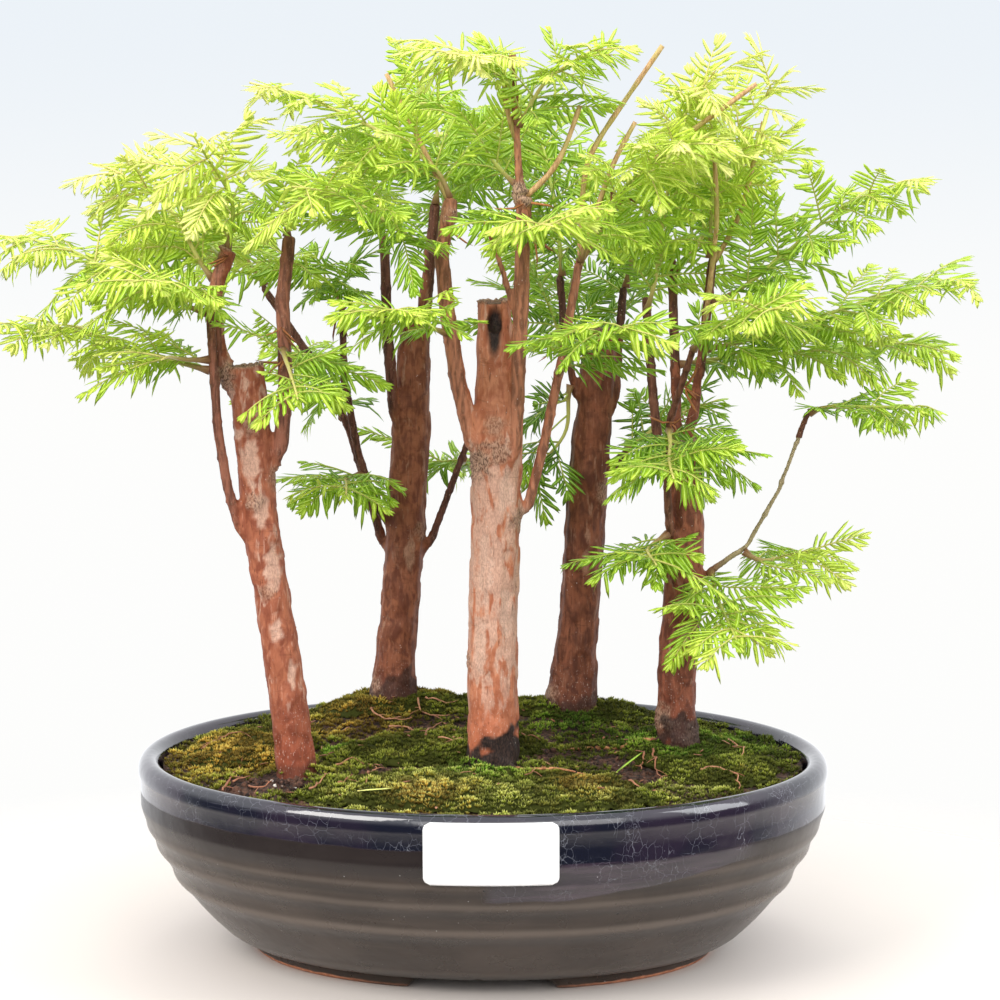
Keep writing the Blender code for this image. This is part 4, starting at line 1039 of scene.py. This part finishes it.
class Spray:
    """Gathers the rods and needles of a leafy shoot, and then makes them one piece."""

    def __init__(self):
        self.rods, self.faces, self.needles = [np.zeros((0, 3))], [], []
        self.marks = {"stem": [], "tone": [], "aged": []}
        self.count = 0

    def rod(self, line, radii, sides, tone, aged=0.0):
        """Aged is how brown the stem is at its points, from 0 to 1."""
        places, faces = tube(line, radii, sides)
        self.faces.append(faces + self.count)
        self.rods.append(places)
        self.count += len(places)
        self.marks["stem"] += [1.0] * len(places)
        self.marks["tone"] += [tone] * len(places)
        self.marks["aged"] += list(np.repeat(np.broadcast_to(aged, len(line)), sides))

    def needle(self, foot, out, flat, length, width, droop, hook, tone):
        self.needles.append((*foot, *out, *flat, length, width, droop, hook, tone))

    def blades(self):
        """The needles, flat with a soft tip and a keel beneath: places, triangles and marks."""
        rows = np.array(self.needles)
        foot, out, flat = rows[:, 0:3], unit(rows[:, 3:6]), rows[:, 6:9]
        length, width, droop, hook, tone = rows[:, 9:14].T
        side = unit(np.cross(out, flat))
        flat = unit(np.cross(side, out))
        reach = out - flat * droop[:, None] + side * hook[:, None]
        room = np.where(reach > 0, box_high - foot, box_low - foot) / np.where(abs(reach) < 1e-6, 1e-6, reach)
        length = np.clip(np.minimum(length, room.min(axis=1)), 0.8, None)
        shares = np.r_[NEEDLE_SECTIONS[:, 0], 1.0]
        along = (length[:, None] * shares)[..., None]
        bend = (length[:, None] * shares ** 2)[..., None]
        line = foot[:, None] + out[:, None] * along - flat[:, None] * bend * droop[:, None, None]
        line = line + side[:, None] * bend * hook[:, None, None]
        half = (width[:, None] / 2 * NEEDLE_SECTIONS[:, 1])[..., None]
        middle = line[:, :-1]
        keel = middle - flat[:, None] * NEEDLE_THICKNESS * NEEDLE_SECTIONS[:, 1][None, :, None]
        rings = np.stack([middle - side[:, None] * half, middle + side[:, None] * half, keel], axis=2)
        places = np.concatenate([rings.reshape(len(rows), -1, 3), line[:, -1:]], axis=1)
        sections = len(NEEDLE_SECTIONS)
        faces = [(2, 1, 0)]
        for k in range(sections):
            for a, b in ((0, 1), (1, 2), (2, 0)):
                low, high = 3 * k + a, 3 * k + b
                if k < sections - 1:
                    faces += [(low, high, high + 3), (low, high + 3, low + 3)]
                else:
                    faces.append((low, high, 3 * sections))
        each = places.shape[1]
        faces = (np.array(faces)[None] + each * np.arange(len(rows))[:, None, None]).reshape(-1, 3)
        marks = {"across": np.tile(np.r_[np.tile([-1.0, 1.0, 0.0], sections), 0.0], len(rows)),
                 "along": np.tile(np.r_[np.repeat(NEEDLE_SECTIONS[:, 0], 3), 1.0], len(rows)),
                 "tone": np.repeat(tone, each)}
        return places.reshape(-1, 3), faces, marks

    def add(self, name, finish, slot, *nodes):
        blades, blade_faces, blade_marks = self.blades()
        count = len(blades)
        marks = {"stem": np.r_[self.marks["stem"], np.zeros(count)],
                 "aged": np.r_[self.marks["aged"], np.zeros(count)],
                 "tone": np.r_[self.marks["tone"], blade_marks["tone"]],
                 "across": np.r_[np.zeros(self.count), blade_marks["across"]],
                 "along": np.r_[np.zeros(self.count), blade_marks["along"]]}
        faces = np.vstack([*self.faces, blade_faces + self.count])
        add_piece(name, np.vstack([*self.rods, blades]), faces.tolist(), finish, slot, *nodes, marks=marks)


def needle_pair(spray, here, ahead, normal, share, youth, hang, chance):
    """The two needles at this share of a feather. Hang makes them droop under the rib."""
    side = unit(np.cross(ahead, normal))
    flat = unit(np.cross(side, ahead))
    for hand in (-1, 1):
        if chance.random() < MISSING_SHARE:
            continue
        lean = math.radians(NEEDLE_LEAN[0] + NEEDLE_LEAN[1] * share ** 1.3) + chance.uniform(-0.16, 0.16)
        out = side * hand * math.cos(lean) + ahead * math.sin(lean) + flat * chance.uniform(-0.16, 0.16)
        out[2] -= hang * chance.uniform(0.6, 1.3)
        size = NEEDLE_LENGTH * np.interp(share, *NEEDLE_SHARES) * chance.uniform(0.80, 1.12)
        roll = flat + side * hand * chance.uniform(-0.2, 0.4) + ahead * chance.uniform(-0.3, 0.3)
        droop = chance.uniform(*NEEDLE_DROOP)
        if chance.random() < CURLED_SHARE:
            droop = chance.uniform(*CURLED_DROOP)
        tone = youth + 0.20 * (share - 0.35) + chance.uniform(-0.10, 0.10)
        tip = here + unit(out) * size * 0.8
        if off_wood(tip) > TIP_ROOM and not in_gap(tip):
            spray.needle(here, out, roll, size, NEEDLE_WIDTH * chance.uniform(0.80, 1.14), droop,
                         -hand * chance.uniform(-0.12, 0.28), tone)


def add_feather(spray, line, normal, youth, hang, chance):
    """A rib along the line with two ranks of needles, which shorten and close up at the tip."""
    line = within_box(even(line, NEEDLE_PITCH))
    count = len(line)
    skip = 2 if count > 6 else 1
    spray.rod(line[::skip], np.linspace(*RIB_RADIUS, count)[::skip], 4, youth)
    ahead = unit(np.gradient(line, axis=0))
    for i in range(1, count):
        needle_pair(spray, line[i], ahead[i], normal, i / (count - 1), youth, hang, chance)
    side = unit(np.cross(ahead[-1], normal))
    for swing in (-0.35, 0.0, 0.3):
        size = NEEDLE_LENGTH * chance.uniform(0.35, 0.52)
        spray.needle(line[-1], ahead[-1] + side * swing, normal, size, NEEDLE_WIDTH, 0.1, 0.0, youth + 0.16)


def arching(start, way, length, rise, fall):
    """A rib that leaves its shoot, rises a little and bends over under its own weight."""
    shares = np.linspace(0, 1, 9)[:, None]
    up = np.array((0, 0, 1.0))
    return start + way * length * shares + up * length * (rise * shares - fall * shares ** 2)


def clear(line):
    """Whether a feather along this line keeps to the crown, inside the box and off the wood."""
    tip = line[-1]
    if (line < box_low + FEATHER_ROOM).any() or (line > box_high - FEATHER_ROOM).any():
        return False
    if crown.find(tip)[2] > CROWN_ROOM:
        return False
    if in_gap(tip) or in_gap(line[4]):
        return False
    return all(off_wood(point) > WOOD_ROOM for point in line[3:])


def youth_and_shade_at(place, share):
    """How young and yellow the needles are: most at the top, the outside and the shoots' tips. It is also
    painted light and shade: lighter at the top, outside and on the left, darker inside the crown and at the
    back.
    """
    outward = math.hypot(place[0] / 150, place[1] / 100)
    height = 0.32 * ramp(place[2], 220, 335) + 0.14 * (1 - ramp(place[2], 150, 225))
    left = 0.10 * ramp(-place[0], 60, 110)
    return 0.16 + height + left + 0.24 * ramp(outward, 0.3, 1.1) + 0.18 * share - 0.16 * ramp(place[1], 0, 50)


def grow_side_feathers(spray, shoot, ahead, taken, mood, chance):
    """Pairs of feathers all along a shoot, except where the solid's own ones are."""
    length = np.linalg.norm(np.diff(shoot, axis=0), axis=1).sum()
    stations = max(3, round(length / STATION_PITCH))
    spin = chance.uniform(0, math.tau)
    for station in range(stations):
        share = 0.10 + 0.82 * station / (stations - 1)
        at = int(share * (len(shoot) - 1))
        upright = ramp(abs(ahead[at][2]), 0.45, 0.9)
        across = unit(np.cross(ahead[at], (0, 0, 1)) + np.array((1e-4, 0, 0)))
        over = unit(np.cross(across, ahead[at]))
        turn = spin * upright + station * upright * math.radians(75) + chance.uniform(-0.5, 0.5)
        for hand in (0, math.pi):
            way = across * math.cos(turn + hand) + over * math.sin(turn + hand)
            way = unit(way + ahead[at] * chance.uniform(0.25, 0.85))
            if any(abs(at - other) < 2 and way @ other_way > 0.8 for other, other_way in taken):
                continue
            for attempt in range(ATTEMPTS):
                reach = chance.uniform(*FEATHER_LENGTH) * (1 - 0.5 * max(share - 0.6, 0)) * SHORTER ** attempt
                fall = chance.uniform(0.10, 0.42) + 0.15 * max(-way[1], 0)
                line = arching(shoot[at], way, reach, chance.uniform(0.05, 0.40), fall)
                if clear(line):
                    tilt = np.array([chance.uniform(-0.6, 0.6), chance.uniform(-0.85, 0.35), 1.0])
                    hangs = chance.random() < HANGING_SHARE
                    hang = chance.uniform(0.4, 0.9) if hangs else chance.uniform(0, 0.15)
                    youth = youth_and_shade_at(line[-1], share) + mood + chance.uniform(-0.08, 0.08)
                    add_feather(spray, line, unit(tilt), youth, hang, chance)
                    taken.append((at, way))
                    break


def grow_spray(node, chance):
    """A leafy shoot on the lines of its solid, rooted a little way into the bark."""
    corners, links = joined_corners(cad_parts[node].data)
    lines = lines_of(corners, links)
    shoot = even(lines[0], SHOOT_PITCH)
    hits = (surface.find_nearest(Vector(shoot[0])) for surface in wood.values())
    bark = np.array(min(hits, key=lambda hit: hit[3])[0])
    shoot[0] = bark - (shoot[0] - bark) * 0.3
    shoot = within_box(shoot)
    count = len(shoot)
    along = np.arange(count) * SHOOT_PITCH
    collar = COLLAR[0] * np.exp(-(along / COLLAR[1]) ** 2)
    aged = np.clip(1 - along / chance.uniform(*AGED_LENGTH), 0, 1)
    mood = chance.uniform(-0.10, 0.10)
    spray = Spray()
    spray.rod(shoot, np.linspace(*SHOOT_RADIUS, count) + collar, 7, chance.uniform(0.2, 0.9), aged)
    ahead = unit(np.gradient(shoot, axis=0))
    taken = []
    for line in lines[1:]:
        nearest = int(np.linalg.norm(shoot - line[0], axis=1).argmin())
        away = np.linalg.norm(corners[:, None] - line[None], axis=2).min(axis=1)
        cloud = corners[away < FEATHER_REACH]
        normal = np.linalg.svd(cloud - cloud.mean(axis=0))[2][-1]
        normal = normal if normal[2] > 0 else -normal
        youth = youth_and_shade_at(line[-1], nearest / count) + mood
        line[:, 2] = line[0, 2] + (line[:, 2] - line[0, 2]) * SAG_KEPT
        add_feather(spray, np.vstack([shoot[nearest], line]), normal, youth, 0.05, chance)
        taken.append((nearest, unit(line[-1] - line[0])))
    grow_side_feathers(spray, shoot, ahead, taken, mood, chance)
    for i in range(int(0.5 * count), count):
        share = i / (count - 1)
        normal = unit(np.cross(np.cross(ahead[i], (0, 0, 1)), ahead[i]) + np.array((0, 0, 1e-4)))
        youth = youth_and_shade_at(shoot[i], share) + mood
        needle_pair(spray, shoot[i], ahead[i], normal, share, youth, 0.1, chance)
    return spray


# The needles run through these colours as they get younger, and their stems go brown with age. The darkest
# green also serves as painted shade and the palest as a painted highlight.
GREENS = ((0.0, (0.040, 0.120, 0.008)), (0.25, (0.140, 0.310, 0.010)), (0.50, (0.340, 0.560, 0.024)),
          (0.76, (0.600, 0.760, 0.070)), (1.0, (0.860, 0.880, 0.260)))

leaf = Finish("needles", Roughness=0.46, Specular_IOR_Level=0.35, Emission_Strength=0.15)
# The tone carries young growth together with painted light and shade.
youth = leaf.attribute("tone") + (leaf.noise(14.0, 2) - 0.5) * 0.30
green = leaf.node("ValToRGB", {"stops": GREENS}, {0: youth})
midrib = 1 - abs(leaf.attribute("across")).step(0.06, 0.30)
midrib = midrib * (1 - leaf.attribute("along").step(0.7, 1.0))
green = leaf.mix(midrib * 0.35, green, (0.74, 0.82, 0.34))
green = leaf.mix(leaf.noise(2.2, 3).step(0.45, 0.75) * 0.20, green, (0.14, 0.30, 0.012))
stem = leaf.mix(leaf.attribute("tone").step(0.3, 0.9), (0.36, 0.44, 0.07), (0.58, 0.52, 0.17))
stem = leaf.mix(leaf.noise((0.8, 0.8, 6.0), 3).step(0.45, 0.75) * 0.35, stem, (0.50, 0.27, 0.11))
stem = leaf.mix(leaf.attribute("aged"), stem, (0.21, 0.10, 0.050))
colour = leaf.mix(leaf.attribute("stem"), green, stem)
leaf.set("Base Color", colour)
# Painted glow: the needles give off a faint light in their own colour, standing in for light that shines
# through them.
leaf.set("Emission Color", colour)  # light that comes through the thin needles
leaf.bump(leaf.noise(1.2, 2), 0.08)

sprays = [node for node in sorted(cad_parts) if node.startswith("spray_")]
outer = np.vstack([joined_corners(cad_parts[node].data)[0] for node in sprays])
crown = kdtree.KDTree(len(outer))
for number, corner in enumerate(outer):
    crown.insert(corner, number)
crown.balance()
for node in sprays:
    grow_spray(node, random.Random(node)).add(node.replace("spray", "shoot"), leaf, "needles", node)

# Cut shoots and dry bits: last year's shoots, trimmed to length and gone tan, stand up through the
# crown, and a few dead, curled needles hang where limbs end.
CUT_SHOOTS = (
    ((17, -41, 320), (13, -44, 332), (13, -44, 351)), ((40, -26, 272), (42, -30, 312), (71, -30, 354)),
    ((20, -40, 298), (33, -42, 309), (41, -42, 332)), ((40, -26, 273), (63, -20, 309), (106, -20, 340)),
    ((90, 0, 272), (100, -5, 288), (109, -5, 326)), ((-8, -40, 297), (-20, -40, 322), (-31, -40, 344)),
    ((40, -26, 272), (52, -30, 310), (61, -30, 326)), ((87, 2, 246), (92, -14, 290), (90, -16, 318)))
CUT_RADIUS = (1.15, 0.9)
CUT_PITCH = 4.0
DRY_PLACES = ((-90, -47, 277), (-94, -46, 262), (-71, -43, 250), (-70, -44, 238), (-8, -42, 288),
              (20, -43, 296), (23, -42, 284), (34, -31, 246), (74, -14, 212), (80, -18, 226),
              (-60, 36, 250), (52, -34, 300))

chance = random.Random(3)
cut = Spray()
for line in CUT_SHOOTS:
    line = even(line, CUT_PITCH)
    bumps = np.array([chance.uniform(-0.12, 0.12) for _ in line])
    cut.rod(line, np.linspace(*CUT_RADIUS, len(line)) + bumps, 8, 0.5)
for place in DRY_PLACES:
    for _ in range(chance.randint(3, 5)):
        out = (chance.uniform(-1, 1), chance.uniform(-1, 0.6), chance.uniform(-1.2, 0.2))
        flat = [chance.uniform(-1, 1) for _ in range(3)]
        cut.needle(place, out, flat, chance.uniform(6, 12), chance.uniform(0.9, 1.6),
                   chance.uniform(0.2, 0.9), chance.uniform(-0.6, 0.6), chance.uniform(0, 1))
tan = Finish("cut_shoots", Roughness=0.6)
grains = tan.noise((0.7, 0.7, 9.0), 3)
skin = tan.mix(grains.step(0.35, 0.65), (0.40, 0.21, 0.085), (0.66, 0.42, 0.20))
skin = tan.mix(tan.noise(9.0, 2).step(0.45, 0.65) * 0.6, skin, (0.46, 0.40, 0.11))
dry = tan.mix(tan.attribute("tone"), (0.20, 0.055, 0.020), (0.58, 0.22, 0.070))
tan.set("Base Color", tan.mix(tan.attribute("stem"), dry, skin))
tan.bump(grains, 0.15)
cut.add("cut_shoots_and_dry_needles", tan, "bark")

# Litter: hair roots that surface on the moss, two fallen needles, one green and one yellowing, and
# scraps of bark.
HAIR_ROOTS = (
    ((-93, -64), (-92, -46), (-91, -30)), ((-91, -54), (-85, -47)), ((-83, -60), (-77, -65), (-75, -54)),
    ((-53, -38), (-49, -30), (-42, -36)), ((-58, -72), (-53, -58)), ((-48, -68), (-44, -60)),
    ((-38, -56), (-37, -40)), ((-39, 13), (-32, 15), (-26, 8)), ((-22, -5), (-22, 12), (-17, 21)),
    ((-16, -9), (-6, -11)), ((-30, 36), (-24, 25), (-16, 30)), ((-27, 42), (-20, 39), (-14, 44)),
    ((-48, 30), (-40, 20), (-30, 22)), ((87, -37), (92, -33), (101, -38), (102, -50)), ((13, 2), (24, -8)),
    ((68, -14), (70, -34), (72, -47)), ((65, -18), (64, -35)), ((24, -44), (26, -56), (22, -62)),
    ((9, -44), (-4, -46), (-9, -41)), ((60, -56), (66, -62), (74, -60)), ((98, 10), (104, 2), (103, -8)),
    ((-110, -6), (-104, 6), (-96, 8)), ((20, 64), (28, 70), (38, 66)), ((-64, 70), (-56, 76), (-46, 72)))
HAIR_RADIUS = (0.44, 0.16)
HAIR_PITCH = 1.6
FORK_STEPS = (0, 1.5, 3, 4.5, 6)
FORK_RADIUS = (HAIR_RADIUS[1] * 1.2, 0.10)
ON_TOP = 1.2  # how far above the ground litter lies, because the moss is tufted
SCRAPS = 90
SCRAPS_REACH = SOIL_REACH * 0.95
# Fallen needles: x, y, which way each points and how yellow it is.
FALLEN = ((55, -43, (0.55, 0.25, 0.45), 0.45), (-39, -81, (0.9, 0.25, 0.08), 0.95))
FALLEN_SIZE = (13.0, 1.9)
FALLEN_LIFT = 1.7
UP = (0, 0, 1)


def ground_height(x, y):
    """The top of the soil or of a cushion, whichever is higher."""
    hits = [from_above(surface, x, y)[0] for surface in ground]
    return max([soil_height(x, y) + 1.0] + [hit.z for hit in hits if hit])


litter = Spray()
for line in HAIR_ROOTS:
    laid = []
    for x, y, _ in even([(x, y, 0) for x, y in line], HAIR_PITCH):
        sway = Vector((x, y, 8)) / 3
        lift = ON_TOP + 0.6 * patches(x, y, 0, 4)
        place = (x + 1.2 * noise.noise(sway), y + 0.9 * noise.noise(sway + sway), ground_height(x, y) + lift)
        laid.append(place)
    litter.rod(laid, np.linspace(*HAIR_RADIUS, len(laid)), 6, chance.uniform(0, 1))
    for fork in laid[3::5]:
        way = Vector((chance.uniform(-1, 1), chance.uniform(-1, 1), 0)).normalized()
        twig = [Vector(fork) + way * far - Vector((0, 0, 0.03 * far * far)) for far in FORK_STEPS]
        litter.rod(twig, np.linspace(*FORK_RADIUS, len(twig)), 5, chance.uniform(0, 1))
for _ in range(SCRAPS):
    x, y = oval(SCRAPS_REACH * math.sqrt(chance.random()), chance.uniform(0, math.tau))
    way = (chance.uniform(-1, 1), chance.uniform(-1, 1), chance.uniform(-0.1, 0.25))
    size = (chance.uniform(1.5, 5.0), chance.uniform(0.5, 1.3))
    bend = (chance.uniform(0, 0.4), chance.uniform(-0.4, 0.4))
    litter.needle((x, y, ground_height(x, y) + ON_TOP), way, UP, *size, *bend, chance.uniform(0, 1))
root_skin = Finish("hair_roots", Roughness=0.7)
rusty = root_skin.mix(root_skin.attribute("tone"), (0.26, 0.085, 0.040), (0.48, 0.225, 0.120))
dark_share = root_skin.noise(2.0, 3).step(0.4, 0.7) * 0.5
root_skin.set("Base Color", root_skin.mix(dark_share, rusty, (0.13, 0.050, 0.030)))
root_skin.bump(root_skin.noise(0.6, 2), 0.12)
litter.add("hair_roots_and_scraps", root_skin, "bark")
dropped = Spray()
for x, y, way, youth in FALLEN:
    height = ground_height(x, y) + FALLEN_LIFT
    dropped.rod([(x, y, height - 0.1), (x + way[0], y + way[1], height)], (0.3, 0.3), 4, youth)
    dropped.needle((x, y, height), way, UP, *FALLEN_SIZE, 0.05, 0.05, youth)
dropped.add("fallen_needles", leaf, "needles")

# Table, light and camera: a pale floor that melts into a pale room. Soft boxes light it from the
# left, above, the right and the front, and the camera stands where the photograph's stood.
FLOOR_REACH = 2600.0
FLOOR_DEPTH = 0.05  # how far it lies under the feet
FLOOR_STEPS = 96
FLOOR_SHAPE = (1.35, 1.0, 1.0)  # it is seen in an oval, this much wider than it is deep
FLOOR_FADE = (135.0, 300.0)  # how far back it starts to melt away, and how far back it is gone
CAMERA_AWAY = 1100.0
CAMERA_AZIMUTH = 5.0
CAMERA_HEIGHT = 12.886  # degrees above level
CAMERA_ROLL = -0.18
CAMERA_LENS = 99.34
CAMERA_FILM = 36.0
CAMERA_SIGHT = 10.0  # metres
AIM = (7.59, 0.0, 179.45)
EYE_LEVEL = 78.4

floor_mesh = bpy.data.meshes.new("floor")
turns = [math.tau * k / FLOOR_STEPS for k in range(FLOOR_STEPS)]
rim_places = np.array([(math.cos(turn), math.sin(turn), 0) for turn in turns])
floor_places = np.vstack([rim_places * CORE, rim_places * FLOOR_REACH]) - (0, 0, FLOOR_DEPTH)
floor_faces = [(k, FLOOR_STEPS + k, FLOOR_STEPS + (k + 1) % FLOOR_STEPS, (k + 1) % FLOOR_STEPS)
               for k in range(FLOOR_STEPS)]
floor_mesh.from_pydata(((floor_places + MIDDLE) * MM).tolist(), [], floor_faces)
table = Finish("table", Roughness=0.7)
table.set("Base Color", table.mix(table.noise(160.0, 2), (0.64, 0.585, 0.54), (0.63, 0.58, 0.54)))
away = table.node("VectorMath", {"operation": "LENGTH"}, {0: table.cells(FLOOR_SHAPE)}, "Value")
table.set("Alpha", 1 - away.step(*FLOOR_FADE))
floor_mesh.materials.append(table.material)
new_object("floor", floor_mesh)

# The room lights the trees with a bright ceiling and a bright wall behind them, and is seen pale.
world = bpy.data.worlds.new("room")
bpy.context.scene.world = world
world.use_nodes = True
room = Nodes(world.node_tree)
way = room.node("TexCoord", {}, {}, "Generated")
up = room.node("SeparateXYZ", {}, {"Vector": way}, "Z")
behind = room.node("SeparateXYZ", {}, {"Vector": way}, "Y")
ceiling = room.mix(up.step(0.0, 0.55), (0.14, 0.14, 0.16), (1.50, 1.52, 1.56))
lit = room.mix(behind.step(-0.15, 0.6), ceiling, (1.20, 1.22, 1.26))
seen = room.mix(up.step(-0.10, 0.05), (0.985, 0.985, 0.975), (0.84, 0.89, 0.94))
camera_ray = room.node("LightPath", {}, {}, "Is Camera Ray")
room.feed(world.node_tree.nodes["Background"].inputs["Color"], room.mix(camera_ray, lit, seen))


def soft_box(name, place, aim, size, power, colour):
    """A lamp of this width and height at a place, turned towards its aim."""
    light = bpy.data.lights.new(name, "AREA")
    light.shape = "RECTANGLE"
    light.size = size[0] * MM
    light.size_y = size[1] * MM
    light.energy = power
    light.color = colour
    lamp = new_object(name, light)
    lamp.location = (Vector(place) + Vector(MIDDLE)) * MM
    lamp.rotation_euler = (Vector(aim) - Vector(place)).to_track_quat("-Z", "Y").to_euler()


soft_box("key", (-800, -900, 1000), (0, 0, 170), (700, 700), 15, (1.0, 0.97, 0.93))
soft_box("top", (100, 300, 1500), (0, 0, 200), (900, 600), 6, (1.0, 1.0, 1.0))
soft_box("right", (1100, -300, 700), (0, 0, 150), (500, 800), 6, (0.95, 0.98, 1.0))
soft_box("front", (300, -1400, 750), (0, 0, 160), (1600, 800), 10, (1.0, 0.98, 0.96))

azimuth, rise = math.radians(CAMERA_AZIMUTH), math.radians(CAMERA_HEIGHT)
back = Vector((math.sin(azimuth) * math.cos(rise), -math.cos(azimuth) * math.cos(rise), math.sin(rise)))
eye = (Vector(MIDDLE) + Vector((0, 0, EYE_LEVEL)) + back * CAMERA_AWAY) * MM
aim = (Vector(MIDDLE) + Vector(AIM)) * MM
camera = new_object("camera", bpy.data.cameras.new("camera"))
camera.data.lens = CAMERA_LENS
camera.data.sensor_width = CAMERA_FILM
camera.data.clip_end = CAMERA_SIGHT
turn = (aim - eye).to_track_quat("-Z", "Y").to_matrix().to_4x4()
camera.matrix_world = Matrix.Translation(eye) @ turn @ Matrix.Rotation(math.radians(CAMERA_ROLL), 4, "Z")
bpy.context.scene.camera = camera
bpy.context.scene.view_settings.view_transform = "Standard"
